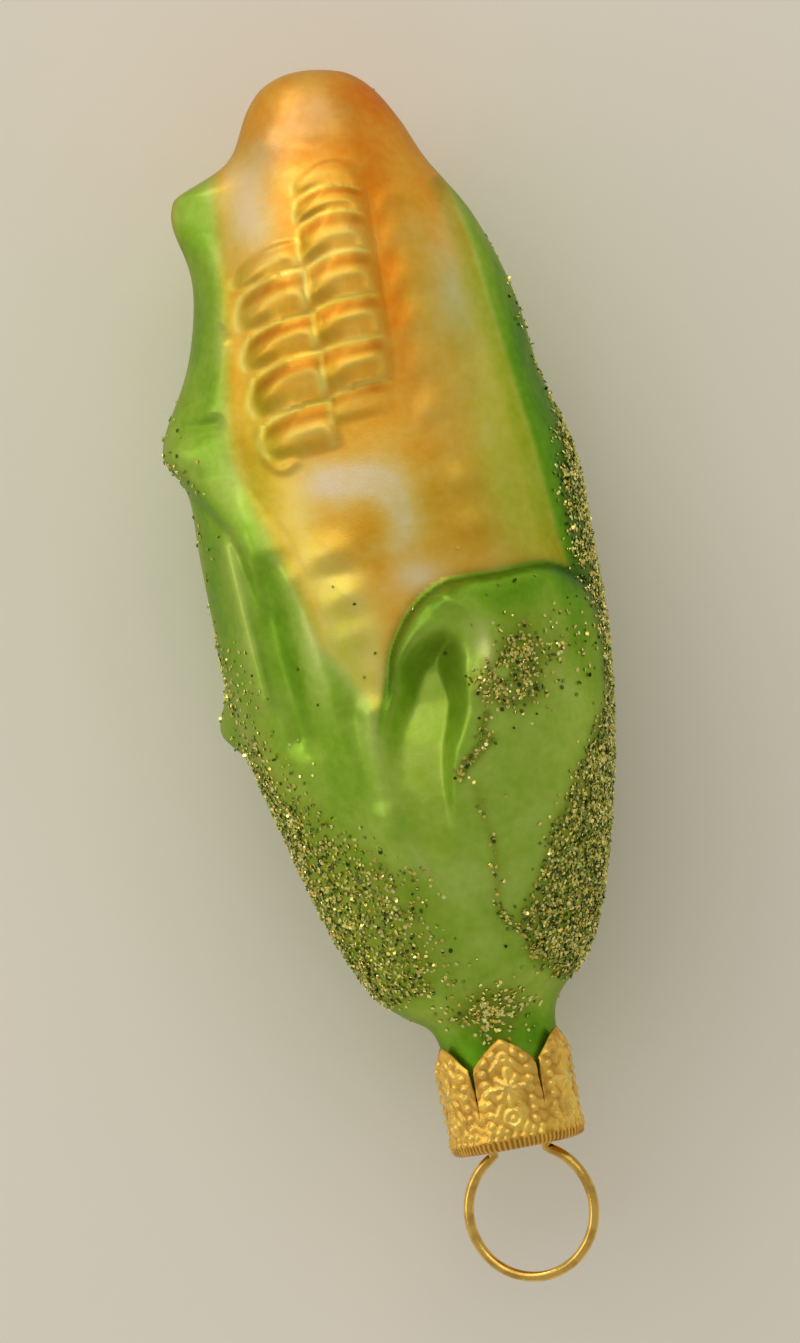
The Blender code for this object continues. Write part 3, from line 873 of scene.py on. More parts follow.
@dataclass(frozen=True)
class GlitterSpread:
    """How thickly the glitter lies, in flakes to the square millimetre."""

    left: Route = (
        (14.5, -5.0), (18.0, -2.6), (22.0, -3.0), (26.0, -3.4), (28.5, -5.6), (30.5, -8.2),
        (33.0, -10.4), (36.0, -12.6), (40.0, -15.2), (45.0, -17.4), (52.0, -18.9), (56.0, -22.0),
    )
    right: Route = (
        (15.5, 5.8), (18.0, 4.4), (20.0, 3.9), (22.0, 4.2), (24.5, 6.2), (26.5, 7.4), (28.4, 8.2),
        (31.4, 10.2), (36.0, 13.2), (38.6, 15.0), (41.0, 16.3), (46.0, 16.9), (50.0, 16.6),
        (53.0, 15.4), (60.0, 15.5), (66.0, 16.2), (74.0, 15.2), (82.0, 14.4), (90.0, 12.0),
    )
    clusters: tuple[Bump, ...] = (
        Bump(17.0, 8.5, 45.0, 1.5, 2.5, -8.0), Bump(14.0, 5.4, 43.4, 1.5, 0.9, -25.0),
        Bump(10.0, 5.3, 44.9, 0.5, 1.2), Bump(5.0, 7.2, 42.4, 2.4, 1.1),
        Bump(2.2, 12.0, 46.2, 3.6, 2.8), Bump(6.0, -1.6, 14.0, 2.2, 1.5),
        Bump(9.0, -0.4, 12.0, 1.6, 2.3), Bump(4.0, 1.7, 13.4, 1.8, 1.9),
        Bump(0.8, 3.0, 24.0, 1.0, 3.0), Bump(0.5, -19.5, 66.5, 1.4, 7.0),
    )
    trails: tuple[Fold, ...] = (
        Fold(6.0, 0.4, ((4.7, 40.9), (4.2, 40.2), (3.9, 39.6))),
        Fold(8.0, 0.5, ((4.4, 38.6), (3.6, 38.2), (2.9, 37.6), (1.8, 36.6), (1.2, 35.8))),
        Fold(2.0, 0.5, ((2.2, 34.4), (2.5, 32.0), (3.0, 28.5), (2.6, 26.5), (2.4, 22.5))),
        Fold(6.0, 0.4, ((2.5, 22.2), (3.6, 20.8), (5.4, 20.2), (6.4, 21.6))),
    )
    bare_spot: Span = (6.8, 44.6)
    back_leaf: Bump = Bump(1.0, -20.2, 43.4, 2.2, 3.6)
    starts: Span = (14.5, 16.5)
    left_thick: float = 6.5
    left_loose: float = 0.6
    right_thick: float = 14.0
    right_loose: float = 0.3
    strays: float = 0.02
    uneven: float = 0.45
    back_thick: float = 4.2
    back_side: float = 6.5
    back_strays: float = 0.03

    def front_density(self, across: Grid, along: Grid) -> Grid:
        """Flakes to the square millimetre on the front."""
        leftward = look_up(along, self.left) - across
        rightward = across - look_up(along, self.right)
        starts = fade(along, *self.starts)
        density = self.left_thick * fade(leftward, -1.0, 6.0) * starts
        density = density + self.left_loose * fade(leftward, -3.2, 0.5) * starts
        density = density * (1 - self.back_leaf.relief(across, along))
        upper = fade(along, 92.0, 80.0) * (1 - 0.85 * fade(along, 62.0, 70.0))
        density += self.right_thick * fade(rightward, -1.0, 2.4) * starts * upper
        density += self.right_loose * fade(rightward, -2.6, 0.2) * starts * fade(along, 48.0, 40.0)
        density += laid((*self.clusters, *self.trails), across, along)
        density += self.strays * fade(along, 60.0, 50.0)
        spot = np.hypot(across - self.bare_spot[0], along - self.bare_spot[1])
        clumps = np.sin(1.1 * across + 0.7 * along) * np.sin(0.9 * along - 1.3 * across + 1.0)
        return density * fade(spot, 0.45, 1.0) * (1 + self.uneven * clumps)

    def back_density(self, angle: Grid, along: Grid) -> Grid:
        """Flakes to the square millimetre behind the sides."""
        top = 46.0 + 9.0 * np.cos(2 * angle + 0.6) + 4.0 * np.sin(5 * angle)
        starts = fade(along, 14.5, 17.0)
        lower = self.back_thick * fade(along, top + 7.0, top - 4.0) * starts
        side = self.back_side * fade(np.cos(angle), 0.55, 0.85) * fade(along, 78.0, 64.0) * starts
        left_leaf = fade(-np.cos(angle), 0.6, 0.9) * fade(np.abs(along - self.back_leaf.along), 5.0, 2.5)
        return np.maximum(lower, side) * (1 - left_leaf) + self.back_strays


class Mark(Enum):
    """Places on the front where the films lie deeper or thinner, or are shaded; most are painted highlights
    and painted shade.
    """

    # painted highlight: thin, yellow film with little green along the grooves and the left seam
    GROOVE_HIGHLIGHT = "groove between kernels"
    # painted shade: deeper orange and darker silver on kernels' steep upper ends
    UPPER_END_SHADE = "steep upper end of a kernel"
    # painted highlight: thinner orange along each kernel's crown
    CROWN = "crown of a kernel"
    # painted shade: an olive tint and slight darkening on kernels' lower and left flanks
    FLANK_SHADE = "lower flank of a kernel"
    # painted highlight: pale patches of thinned film that stand in for soft reflections
    PALE_HIGHLIGHT = "nearly bare silver"
    # painted highlight: thin pale orange at the dome's middle, dimmed with painted shade
    PINK_HIGHLIGHT = "thin orange over silver"
    POCKET = "pocket under the front leaf"
    # painted shade where the front leaf's upper edge meets the cob
    LEAF_EDGE_SHADE = "front leaf's edge on the cob"
    # painted shade along the arch over the pocket
    ARCH_SHADE = "arch over the pocket"
    # painted shade and an olive tint on the glass under thick glitter
    GLITTER = "thick glitter"
    # painted shade under thick glitter to the right
    RIGHT_GLITTER_SHADE = "thick glitter to the right"


@dataclass(frozen=True)
class Spray:
    """How the lacquers were sprayed, as depths of film, where 1 is a full coat, with painted
    highlights and painted shade laid in among them.

    husk_left and husk_right hold (along, across) of the husk's inner edges on the front, and
    each Bump or Fold in the lists is a pass of the spray, or a thin spot where it is below 0;
    those in highlight_patches and pink_highlight place painted highlights.
    """

    # highlight_patches: pale patches of thinned film, painted highlights for soft reflections
    highlight_patches: tuple[Bump, ...] = (
        Bump(1.0, -8.8, 91.0, 3.0, 4.2), Bump(0.6, -7.6, 95.6, 2.8, 2.6),
        Bump(0.6, 9.9, 88.3, 1.2, 3.0), Bump(1.0, 9.0, 81.0, 2.0, 4.8),
        Bump(1.05, -5.7, 65.1, 3.2, 2.4), Bump(0.9, -1.4, 64.4, 3.0, 2.4),
        Bump(1.05, 0.3, 60.8, 1.9, 3.0), Bump(0.5, -2.0, 58.2, 2.4, 1.4), Bump(1.0, 0.6, 54.8, 2.8, 2.0),
    )
    # pink_highlight: the dome's pale middle as a painted highlight
    pink_highlight: tuple[Bump, ...] = (Bump(1.1, -1.4, 99.6, 4.2, 3.4, 20.0), Bump(0.8, -6.0, 96.5, 2.6, 2.6))
    cob: tuple[Bump, ...] = (
        Bump(0.5, 4.6, 100.0, 3.6, 5.0), Bump(0.1, -5.9, 101.0, 2.0, 2.4),
        Bump(0.3, -5.6, 92.0, 1.1, 4.4), Bump(0.25, -2.0, 95.6, 4.0, 1.4),
        Bump(0.4, 3.1, 82.0, 1.5, 11.0), Bump(0.25, 3.0, 91.5, 2.6, 4.0),
        Bump(-0.7, 11.8, 66.0, 4.0, 13.0), Bump(0.25, -3.2, 58.0, 2.2, 3.0),
        Bump(-0.8, -6.4, 48.0, 2.8, 9.0), Bump(-0.35, -9.5, 60.0, 2.2, 9.0),
        Bump(0.2, 9.4, 89.0, 2.0, 3.0), Bump(-0.16, 6.2, 80.0, 1.8, 8.0),
        Bump(-0.3, 12.2, 82.0, 1.6, 6.0), Bump(0.12, -1.4, 99.6, 5.0, 4.0),
    )
    husk_left: Route = (
        (26.0, -3.0), (31.0, -4.0), (38.0, -5.2), (43.0, -5.6), (47.0, -7.6), (50.0, -9.6),
        (54.0, -10.4), (58.0, -11.5), (64.0, -13.1), (69.0, -14.3), (74.0, -14.0), (79.0, -13.2),
        (84.0, -12.4), (96.0, -11.4), (97.5, -16.0),
    )
    husk_right: Route = (
        (50.0, 15.4), (56.0, 14.4), (65.0, 13.8), (75.0, 12.6), (85.0, 11.6), (91.5, 10.3), (93.0, 14.0),
    )
    tinge: tuple[Bump, ...] = (
        Bump(0.36, 11.8, 63.0, 3.6, 13.0), Bump(0.25, 9.5, 79.0, 2.6, 5.0),
        Bump(0.34, -7.6, 47.0, 2.2, 6.0), Bump(0.5, -12.9, 66.0, 1.9, 7.0),
        Bump(0.22, -11.0, 73.0, 1.6, 6.0), Bump(0.16, 3.0, 61.0, 6.0, 5.0),
        Bump(0.14, -3.2, 58.4, 2.2, 2.4), Bump(0.16, -11.4, 90.0, 1.6, 5.0),
        Bump(0.1, 11.2, 57.0, 3.0, 5.0),
    )
    husk: tuple[Bump | Fold, ...] = (
        # the first pass deepens the green at the right rim as painted shade
        Bump(1.25, 15.2, 68.0, 2.2, 24.0), Bump(-0.15, 9.0, 37.0, 5.0, 8.0),
        Bump(-0.3, 14.5, 42.0, 2.6, 5.0), Bump(0.38, -13.4, 52.0, 1.7, 7.0),
        Bump(0.25, -10.5, 40.0, 2.6, 8.0), Bump(-0.12, -13.2, 94.5, 3.0, 3.2),
        Bump(0.3, -16.0, 82.0, 1.6, 9.0), Bump(-0.08, -15.4, 66.0, 2.4, 3.4),
        # the first thin spot here brightens the pocket floor as a painted highlight
        Bump(-0.2, -1.6, 39.5, 2.0, 6.0), Bump(-0.15, 0.6, 48.0, 3.4, 2.6),
        Bump(0.5, 10.0, 51.8, 5.4, 1.7), Bump(0.15, 6.0, 52.6, 3.0, 1.2),
        Bump(-0.5, 5.6, 47.0, 0.9, 2.4), Bump(-0.4, -10.4, 50.0, 0.9, 4.6),
        # the first two passes darken the neck under the cap as painted shade
        Bump(0.85, -1.0, 9.3, 9.0, 2.8), Bump(0.4, 4.0, 10.6, 2.4, 1.8), Bump(-0.1, 1.0, 24.0, 4.0, 6.0),
        Bump(-0.5, -19.6, 43.6, 1.8, 3.4), Bump(-0.25, -6.4, 41.0, 0.9, 6.0),
        Bump(0.45, -17.2, 64.6, 1.0, 3.0, 35.0), Bump(0.4, -18.2, 56.0, 1.6, 9.0),
        Bump(-0.4, -16.2, 55.0, 0.8, 7.0), Bump(0.12, -14.2, 88.0, 2.0, 6.0),
        Fold(0.1, 0.75, ((2.9, 44.6), (2.2, 41.6), (1.2, 39.2), (0.3, 36.5), (-0.2, 33.5),
                         (-0.6, 30.8), (-0.9, 28.4))),
    )
    cob_orange: float = 0.52
    cob_yellow: float = 0.6
    husk_green: float = 0.95
    thinnest: float = 0.04
    tinge_limit: float = 0.8
    edge_tinge: float = 0.4
    leaf_edge_shade_green: float = 0.4
    flank_shade_green: float = 0.2
    glitter_orange: float = 0.18
    pocket_yellow: float = 0.1
    # orange_marks: deeper orange on kernels' upper ends is painted shade; thinner orange at grooves and
    # crowns is painted highlight
    orange_marks: tuple[tuple[Mark, float], ...] = (
        (Mark.UPPER_END_SHADE, 0.35), (Mark.GROOVE_HIGHLIGHT, -0.46), (Mark.CROWN, -0.25),
    )
    # shade_marks: how strongly painted shade darkens the silver at each mark
    shade_marks: tuple[tuple[Mark, float], ...] = (
        (Mark.UPPER_END_SHADE, 0.4), (Mark.FLANK_SHADE, 0.06), (Mark.LEAF_EDGE_SHADE, 0.75), (Mark.RIGHT_GLITTER_SHADE, 0.4),
        (Mark.GLITTER, 0.25), (Mark.ARCH_SHADE, 0.3), (Mark.PINK_HIGHLIGHT, 0.38),
    )

    def weighed(self, weights: tuple[tuple[Mark, float], ...], marks: dict[Mark, Grid]) -> Grid:
        """What several marks add together at each place."""
        return sum(weight * marks[mark] for mark, weight in weights)

    def cob_film(self, across: Grid, along: Grid) -> Grid:
        """Depth of the orange film on the cob."""
        return np.clip(self.cob_orange + laid(self.cob, across, along), self.thinnest, 2.0)

    def husk_film(self, across: Grid, along: Grid, leaf: FrontLeaf) -> tuple[Grid, Grid]:
        """The green film on the front.

        Args:
            across: Places across.
            along: Places along.
            leaf: The leaf folded over the lower front, which is green all over.

        Returns:
            How far the husk covers each place, from 0 to 1, and the depth of its green film.
        """
        soft = 1.6 + 0.9 * bell(along - 67.0, 7.0)
        right = across - look_up(along, self.husk_right)
        cover = fade((look_up(along, self.husk_left) - across) / soft, -1.0, 0.9)
        for part in (fade(right, -0.7, 0.5), leaf.cover(across, along), fade(along, 30.0, 26.0)):
            cover = np.maximum(cover, part)
        tinged = laid(self.tinge, across, along) + self.edge_tinge * fade(right, -2.4, -0.6)
        depth = self.husk_green + laid(self.husk, across, along)
        # painted shade: deeper green along the leaf's upper edge
        depth = depth + self.leaf_edge_shade_green * leaf.edge_shade(across, along)
        return cover, np.maximum(cover * depth, np.clip(tinged, 0.0, self.tinge_limit))


@dataclass
class GlassBody:
    """The hollow blown shell: cob, kernels and husk leaves in one skin of glass, open at the neck.

    stations hold (along, left edge, right edge, front depth, back depth).
    """

    bench: Bench
    stations: tuple[tuple[float, ...], ...] = (
        (0.75, -5.6, 5.6, 5.6, 5.6), (5.0, -5.6, 5.6, 5.6, 5.6), (10.3, -5.6, 5.6, 5.6, 5.6),
        (12.4, -6.3, 5.9, 6.1, 6.1), (14.0, -8.5, 6.9, 7.6, 7.6), (16.0, -10.5, 9.0, 9.6, 9.5),
        (19.0, -12.1, 11.0, 11.4, 11.2), (24.0, -14.0, 12.9, 13.3, 13.1),
        (30.0, -15.6, 14.6, 14.9, 14.8), (38.0, -17.6, 16.3, 16.5, 16.6),
        (46.0, -18.9, 17.4, 17.3, 17.1), (56.0, -19.3, 17.6, 17.5, 17.1),
        (64.0, -19.2, 17.5, 17.2, 17.1), (72.0, -18.3, 15.7, 16.4, 16.6),
        (80.0, -16.4, 14.7, 15.3, 15.6), (88.0, -14.0, 12.2, 13.4, 13.7),
        (94.0, -11.0, 8.8, 10.8, 11.0), (98.0, -8.8, 7.1, 8.3, 8.5),
        (101.5, -6.9, 5.0, 6.2, 6.2), (103.4, -4.9, 2.6, 4.0, 4.0), (104.2, -1.6, -1.6, 0.0, 0.0),
    )
    wall: float = 1.1
    pocket_clearance: float = 1.2
    rest_depth: float = 17.9
    back_squareness: float = 0.3
    square_from: Span = (15.0, 34.0)
    row_pitch: Route = (
        (0.7, 1.0), (8.0, 0.6), (14.0, 0.42), (26.0, 0.34), (56.0, 0.34), (64.0, 0.26),
        (67.0, 0.21), (95.0, 0.21), (98.0, 0.34), (104.3, 0.4),
    )
    column_pitch: Route = (
        (0.0, 0.42), (60.0, 0.32), (76.0, 0.23), (137.0, 0.23), (145.0, 0.32), (180.0, 0.45),
        (200.0, 0.8), (340.0, 0.8), (360.0, 0.45),
    )
    outline_steps: int = 6000
    mean_radius: float = 17.0
    tip_blend: float = 3.0
    inner_rows: int = 30
    inner_share: int = 8
    inner_lobes: float = 0.6
    inner_relief: float = 0.5
    front_leaf: FrontLeaf = FrontLeaf()
    kernels: tuple[KernelColumn, ...] = (LEFT_KERNELS, MIDDLE_KERNELS, RIGHT_KERNELS)
    front: tuple[Feature, ...] = (
        Flap(1.9, 5.4, ((56.0, -14.6), (60.0, -15.1), (62.4, -16.0), (64.6, -17.4), (66.2, -18.5),
                        (67.6, -19.6), (72.0, -20.6)), (53.0, 60.0, 70.6, 72.6)),
        Fold(-0.7, 0.6, ((-18.6, 72.2), (-16.9, 72.7), (-14.9, 72.5))),
        Fold(0.4, 0.6, ((-17.2, 77.8), (-18.4, 75.2), (-18.9, 73.2))),
        Fold(0.5, 0.9, ((-12.9, 90.0), (-12.8, 86.0), (-13.2, 82.2))),
        Fold(-0.3, 0.6, ((-14.6, 80.9), (-13.2, 80.7))),
        Fold(0.6, 0.9, ((-13.5, 79.6), (-14.2, 77.0), (-15.1, 74.0))),
        Fold(0.5, 0.8, ((-13.4, 94.2), (-12.9, 92.4))),
        Fold(-0.3, 0.5, ((-15.9, 86.0), (-16.0, 82.0), (-16.9, 78.0))),
        Fold(0.7, 1.5, ((-11.4, 56.5), (-10.4, 52.0), (-9.5, 45.0), (-8.6, 38.0), (-6.8, 32.0))),
        Fold(0.8, 1.3, ((-6.1, 43.0), (-6.5, 39.0), (-6.2, 34.0), (-5.2, 28.0))),
        Fold(-0.45, 1.2, ((-8.0, 43.0), (-7.7, 40.0), (-7.0, 35.0))),
        Fold(-1.4, 1.4, ((-13.6, 57.0), (-13.6, 50.0), (-12.8, 42.0))),
        Fold(1.3, 0.9, ((-16.7, 61.0), (-16.3, 54.0), (-15.8, 46.0))),
        Fold(1.1, 1.1, ((3.0, 52.2), (4.7, 51.0), (5.9, 49.6), (6.4, 48.0), (6.2, 46.6), (5.5, 45.0),
                        (4.8, 43.4))),
        Fold(-0.7, 0.9, ((1.5, 24.0), (1.9, 22.0), (2.8, 20.0), (3.8, 18.2))),
        Fold(0.5, 1.6, ((3.4, 27.5), (3.9, 23.0), (5.4, 20.0))),
        Overlap(0.6, 2.4, ((60.0, -13.4), (70.0, -13.6), (76.0, -12.8), (82.0, -12.4), (98.0, -12.0)), -1),
        Overlap(0.7, 2.2, ((50.0, 15.3), (56.0, 14.5), (65.0, 13.9), (75.0, 12.7), (85.0, 11.7),
                           (91.5, 10.2), (97.0, 8.5)), 1),
        Bump(0.55, -7.0, 58.6, 1.9, 1.4),
        Bump(0.6, -6.6, 54.2, 1.8, 1.5),
        Bump(0.35, -6.2, 50.6, 1.8, 1.5),
        Bump(-0.25, -6.8, 56.5, 1.8, 0.8),
        Bump(0.35, 7.2, 63.2, 2.0, 1.4),
        Bump(0.35, 7.3, 58.8, 2.0, 1.4),
        Bump(0.3, 9.2, 72.6, 1.6, 1.4),
        Fold(0.25, 0.5, ((-11.3, 70.6), (-11.1, 68.3), (-10.0, 67.1), (-8.7, 67.5))),
        Bump(0.45, -6.4, 98.0, 2.0, 1.1, 30.0),
        Bump(0.3, -1.5, 96.6, 2.6, 0.9, -10.0),
    )
    lobes: tuple[Lobe, ...] = (
        Lobe(4.6, 175.0, 21.0, 94.1, 5.4, 1.8),
        Lobe(2.6, 170.0, 22.0, 70.8, 3.0, 5.4),
        Lobe(2.4, 197.0, 13.0, 43.8, 2.6, 3.2),
    )
    back_ribs: Route = ((-21.0, 2.1), (21.0, 2.1), (-52.0, 0.9), (52.0, 0.9))
    rib_half_angle: float = 6.5
    rib_run: Span = (20.0, 92.0)
    # arch adds no relief: it places painted shade along the arch over the pocket
    arch: Fold = Fold(1.0, 1.2, ((-4.2, 45.0), (-3.0, 48.0), (-1.2, 50.6), (0.8, 51.9), (3.0, 52.6)))
    lacquer: LacqueredGlass = LacqueredGlass()
    spray: Spray = Spray()
    glitter: GlitterSpread = GlitterSpread()
    full_glitter: float = 5.0
    green_behind: float = 92.0

    def outline(self) -> tuple[Grid, Grid]:
        """The smooth outline through the stations, finely divided.

        Returns:
            Distances along the skin from the neck, and the station at each of them.
        """
        known = np.array(self.stations)
        past_tip = known[-2] * (1, 0, 0, -1, -1) + (0, known[-2][2], known[-2][1], 0, 0)
        points = np.vstack([2 * known[0] - known[1], known, past_tip])
        half_width = 0.5 * (points[:, 2] - points[:, 1])
        chords = np.hypot(np.diff(points[:, 0]), np.diff(half_width))
        knots = np.concatenate([[0.0], np.cumsum(chords)])
        slopes = (points[2:] - points[:-2]) / (knots[2:] - knots[:-2])[:, None]
        knots, points = knots[1:-1], points[1:-1]
        at = np.linspace(knots[0], knots[-1], self.outline_steps)
        i = np.clip(np.searchsorted(knots, at, side="right") - 1, 0, len(knots) - 2)
        span = (knots[i + 1] - knots[i])[:, None]
        t = (at - knots[i])[:, None] / span
        table = (
            (1 + 2 * t) * (1 - t) ** 2 * points[i]
            + t * (1 - t) ** 2 * span * slopes[i]
            + t * t * (3 - 2 * t) * points[i + 1]
            + t * t * (t - 1) * span * slopes[i + 1]
        )
        return at - at[0], table

    def sections(self, count: int | None = None) -> Grid:
        """Rows of the glass, closest together where its relief is finest.

        Args:
            count: How many rows, evenly spaced, or None to follow row_pitch.

        Returns:
            One station for each row.
        """
        skin, table = self.outline()
        if count:
            rows = np.linspace(0.0, skin[-1], count)
        else:
            wished = look_up(table[:, 0], self.row_pitch)
            rows = even_steps(0.0, skin[-1], tuple(zip(skin, wished)))
        return np.stack([np.interp(rows, skin, table[:, i]) for i in range(5)], axis=1)

    def columns(self) -> Grid:
        """Angles of the columns round the glass, closest together over the kernels."""
        nominal = math.degrees(1 / self.mean_radius)
        pitch = tuple((a, s * nominal) for a, s in self.column_pitch)
        return np.radians(even_steps(0.0, 360.0, pitch, self.inner_share)[:-1])

    def front_relief(self, across: Grid, along: Grid) -> Grid:
        """Height of leaves, folds and kernels on the front above the plain body."""
        height = self.front_leaf.relief(across, along)
        for feature in (*self.kernels, *self.front):
            off_leaf = 1.0
            if isinstance(feature, (KernelColumn, Overlap)):
                off_leaf = 1 - self.front_leaf.cover(across, along)
            height = height + feature.relief(across, along) * off_leaf
        return height

    def back_relief(self, angle: Grid, along: Grid) -> Grid:
        """Ribs of the husk leaves on the back, which the ornament rests on."""
        start, end = self.rib_run
        run = fade(along, start, start + 12) * fade(along, end, end - 12)
        relief = np.zeros(np.broadcast(angle, along).shape)
        for place, height in self.back_ribs:
            turn = (np.degrees(angle) - 270.0 - place) / self.rib_half_angle
            relief = relief + height * np.exp(-(turn**2)) * run
        return relief

    def skin(self, rows: Grid, angle: Grid, inset: float) -> Grid:
        """Places of a skin of the glass, inset from the outer skin.

        Small relief is left off an inset skin, which is smoother than the outside, as in blown
        glass.

        Args:
            rows: Stations of the rows.
            angle: Angles of the columns.
            inset: How far inside the outer skin it lies, or 0 for the outer skin.

        Returns:
            The places as (rows, columns, 3).
        """
        along, left, right, front, back = (rows[:, i : i + 1] for i in range(5))
        middle, half = 0.5 * (left + right), np.maximum(0.5 * (right - left), 1e-6)
        cosine, sine = np.cos(angle)[None, :], np.sin(angle)[None, :]
        faces_front = sine > 0
        depth = np.where(faces_front, np.maximum(front, 1e-6), np.maximum(back, 1e-6))
        square = self.back_squareness * fade(along, *self.square_from)
        power = 2.0 + np.where(faces_front, 0.0, square)
        radius = (np.abs(cosine / half) ** power + np.abs(sine / depth) ** power) ** (-1 / power)
        turned = angle[None, :] + 0 * along
        along = along + 0 * turned
        across = middle + radius * cosine
        outward = sum(lobe.relief(turned, along) for lobe in self.lobes)
        upward = fade(sine, 0.02, 0.35) * self.front_relief(across, along)
        if inset:
            outward = self.inner_lobes * outward
            beneath = self.front_leaf.beneath(across, along, self.pocket_clearance)
            eased = self.inner_relief * np.clip(upward, 0.0, None) * (beneath == 0)
            upward = np.minimum(eased - beneath, upward)
        else:
            outward = outward + self.back_relief(turned, along)
        radius = radius + outward * np.minimum(1.0, radius / self.tip_blend)
        radius = np.maximum(radius - inset, 0.05)
        up = radius * sine + upward * np.minimum(1.0, radius / self.tip_blend)
        along = along - inset * fade(along, 90.0, 104.0)
        up = np.maximum(up, -self.rest_depth + inset)
        return np.stack([middle + radius * cosine, along, up], axis=-1)

    def marks(self, across: Grid, along: Grid, front: Grid) -> dict[Mark, Grid]:
        """How strongly each mark shows.

        Args:
            across: Places across.
            along: Places along.
            front: 1 on the front and 0 on the back, where no mark shows.

        Returns:
            One array from 0 to 1 for each mark.
        """
        left, middle, _ = self.kernels
        dense = np.clip(self.glitter.front_density(across, along) / self.full_glitter, 0.0, 1.0)
        shown = {
            Mark.GROOVE_HIGHLIGHT: np.clip(left.groove_highlights(across, along) + middle.groove_highlights(across, along), 0.0, 1.0),
            Mark.UPPER_END_SHADE: left.upper_end_shade(across, along) + middle.upper_end_shade(across, along),
            Mark.CROWN: left.crowns(across, along) + middle.crowns(across, along),
            Mark.FLANK_SHADE: left.flank_shade(across, along) + middle.flank_shade(across, along),
            Mark.PALE_HIGHLIGHT: np.clip(laid(self.spray.highlight_patches, across, along), 0.0, 1.0),
            Mark.PINK_HIGHLIGHT: np.clip(laid(self.spray.pink_highlight, across, along), 0.0, 1.0),
            Mark.POCKET: fade(self.front_leaf.hollow(across, along), 0.0, 1.5),
            Mark.LEAF_EDGE_SHADE: self.front_leaf.edge_shade(across, along),
            Mark.ARCH_SHADE: self.arch.relief(across, along),
            Mark.GLITTER: dense,
            Mark.RIGHT_GLITTER_SHADE: dense * fade(across, -8.0, 6.0),
        }
        return {mark: value * front for mark, value in shown.items()}

    def coats(self, places: Grid, angle: Grid) -> dict[Coat, Grid]:
        """Depths of the coats at each place of the outer skin.

        Args:
            places: Places as (rows, columns, 3).
            angle: Angles of the columns.

        Returns:
            One array for each coat.
        """
        across, along = places[..., 0], places[..., 1]
        turn = angle[None, :] + 0 * along
        front = fade(np.sin(turn), -0.02, 0.25)
        marks = self.marks(across, along, front)
        top = self.green_behind + 2.2 * np.cos(3 * turn) + 1.2 * np.sin(5 * turn)
        behind = fade(along, top + 0.8, top - 0.8)
        cover, film = self.spray.husk_film(across, along, self.front_leaf)
        on_cob = 1 - fade(front * cover + (1 - front) * behind, 0.1, 0.95)
        green = front * film + (1 - front) * self.spray.husk_green * behind
        # painted shade: olive green on the kernels' lower and left flanks
        green = green + self.spray.flank_shade_green * marks[Mark.FLANK_SHADE] * on_cob * fade(across, -1.0, -5.0)
        # painted highlight along the grooves and seams: less green
        green = green * (1 - 0.75 * marks[Mark.GROOVE_HIGHLIGHT])
        orange = self.spray.cob_film(across, along) + self.spray.weighed(self.spray.orange_marks, marks)
        # the pale patches lose most orange as painted highlights
        orange = np.clip(orange, self.spray.thinnest, None) * (1 - 0.6 * marks[Mark.PALE_HIGHLIGHT]) * on_cob
        orange = orange + self.spray.glitter_orange * marks[Mark.GLITTER]
        # painted highlights: the pale and pink patches lose most of their yellow
        silver = 0.95 * np.maximum(marks[Mark.PALE_HIGHLIGHT], marks[Mark.PINK_HIGHLIGHT])
        # painted highlight: a little more yellow at the grooves
        yellow = (self.spray.cob_yellow + 0.1 * marks[Mark.GROOVE_HIGHLIGHT]) * (1 - silver) * np.maximum(on_cob, 0.15)
        yellow = yellow + self.spray.pocket_yellow * marks[Mark.POCKET]
        shade = np.clip(self.spray.weighed(self.spray.shade_marks, marks), 0.0, 1.0)
        return {Coat.YELLOW: yellow, Coat.ORANGE: orange, Coat.GREEN: green, Coat.SHADE: shade}

    def build(self, effects: Effects) -> tuple[bpy.types.Object, "Skin"]:
        """Make the shell.

        Args:
            effects: The shared node groups.

        Returns:
            The piece and its outer skin, which the glitter is laid on.
        """
        angle = self.columns()
        outer = self.skin(self.sections(), angle, 0.0)
        coats = self.coats(outer, angle)
        inner = self.skin(self.sections(self.inner_rows), angle[:: self.inner_share], self.wall)
        around, inside = outer.shape[1], inner.shape[1]
        outer_rows, inner_rows = outer.shape[0] - 1, inner.shape[0] - 1
        vertices = np.vstack([
            outer[:-1].reshape(-1, 3), outer[-1].mean(axis=0)[None],
            inner[:-1].reshape(-1, 3), inner[-1].mean(axis=0)[None],
        ])
        tip = outer_rows * around
        first = tip + 1
        inner_tip = first + inner_rows * inside
        faces = ring_faces(outer_rows, around)
        faces += [(tip - around + i, tip, tip - around + (i + 1) % around) for i in range(around)]
        faces += [tuple(first + v for v in face[::-1]) for face in ring_faces(inner_rows, inside)]
        last = inner_tip - inside
        faces += [(last + (i + 1) % inside, inner_tip, last + i) for i in range(inside)]
        share = self.inner_share
        for i in range(inside):
            ring = [(share * i + k) % around for k in range(share + 1)]
            half = share // 2
            here, there = first + i, first + (i + 1) % inside
            faces += [(here, ring[k], ring[k + 1]) for k in range(half)]
            faces.append((here, ring[half], there))
            faces += [(there, ring[k], ring[k + 1]) for k in range(half, share)]
        masks = {}
        unseen = np.full(inner_rows * inside + 1, 0.5)
        for coat, values in coats.items():
            outside = values[:-1].ravel()
            masks[coat.value] = np.concatenate([outside, [values[-1].mean()], unseen])
        finish = self.lacquer.build(effects)
        piece = mesh_object("blown_glass", self.bench.metres(vertices), faces, finish, masks, 180.0)
        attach(piece, "root")
        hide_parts("glass_body")
        return piece, Skin(outer, angle)


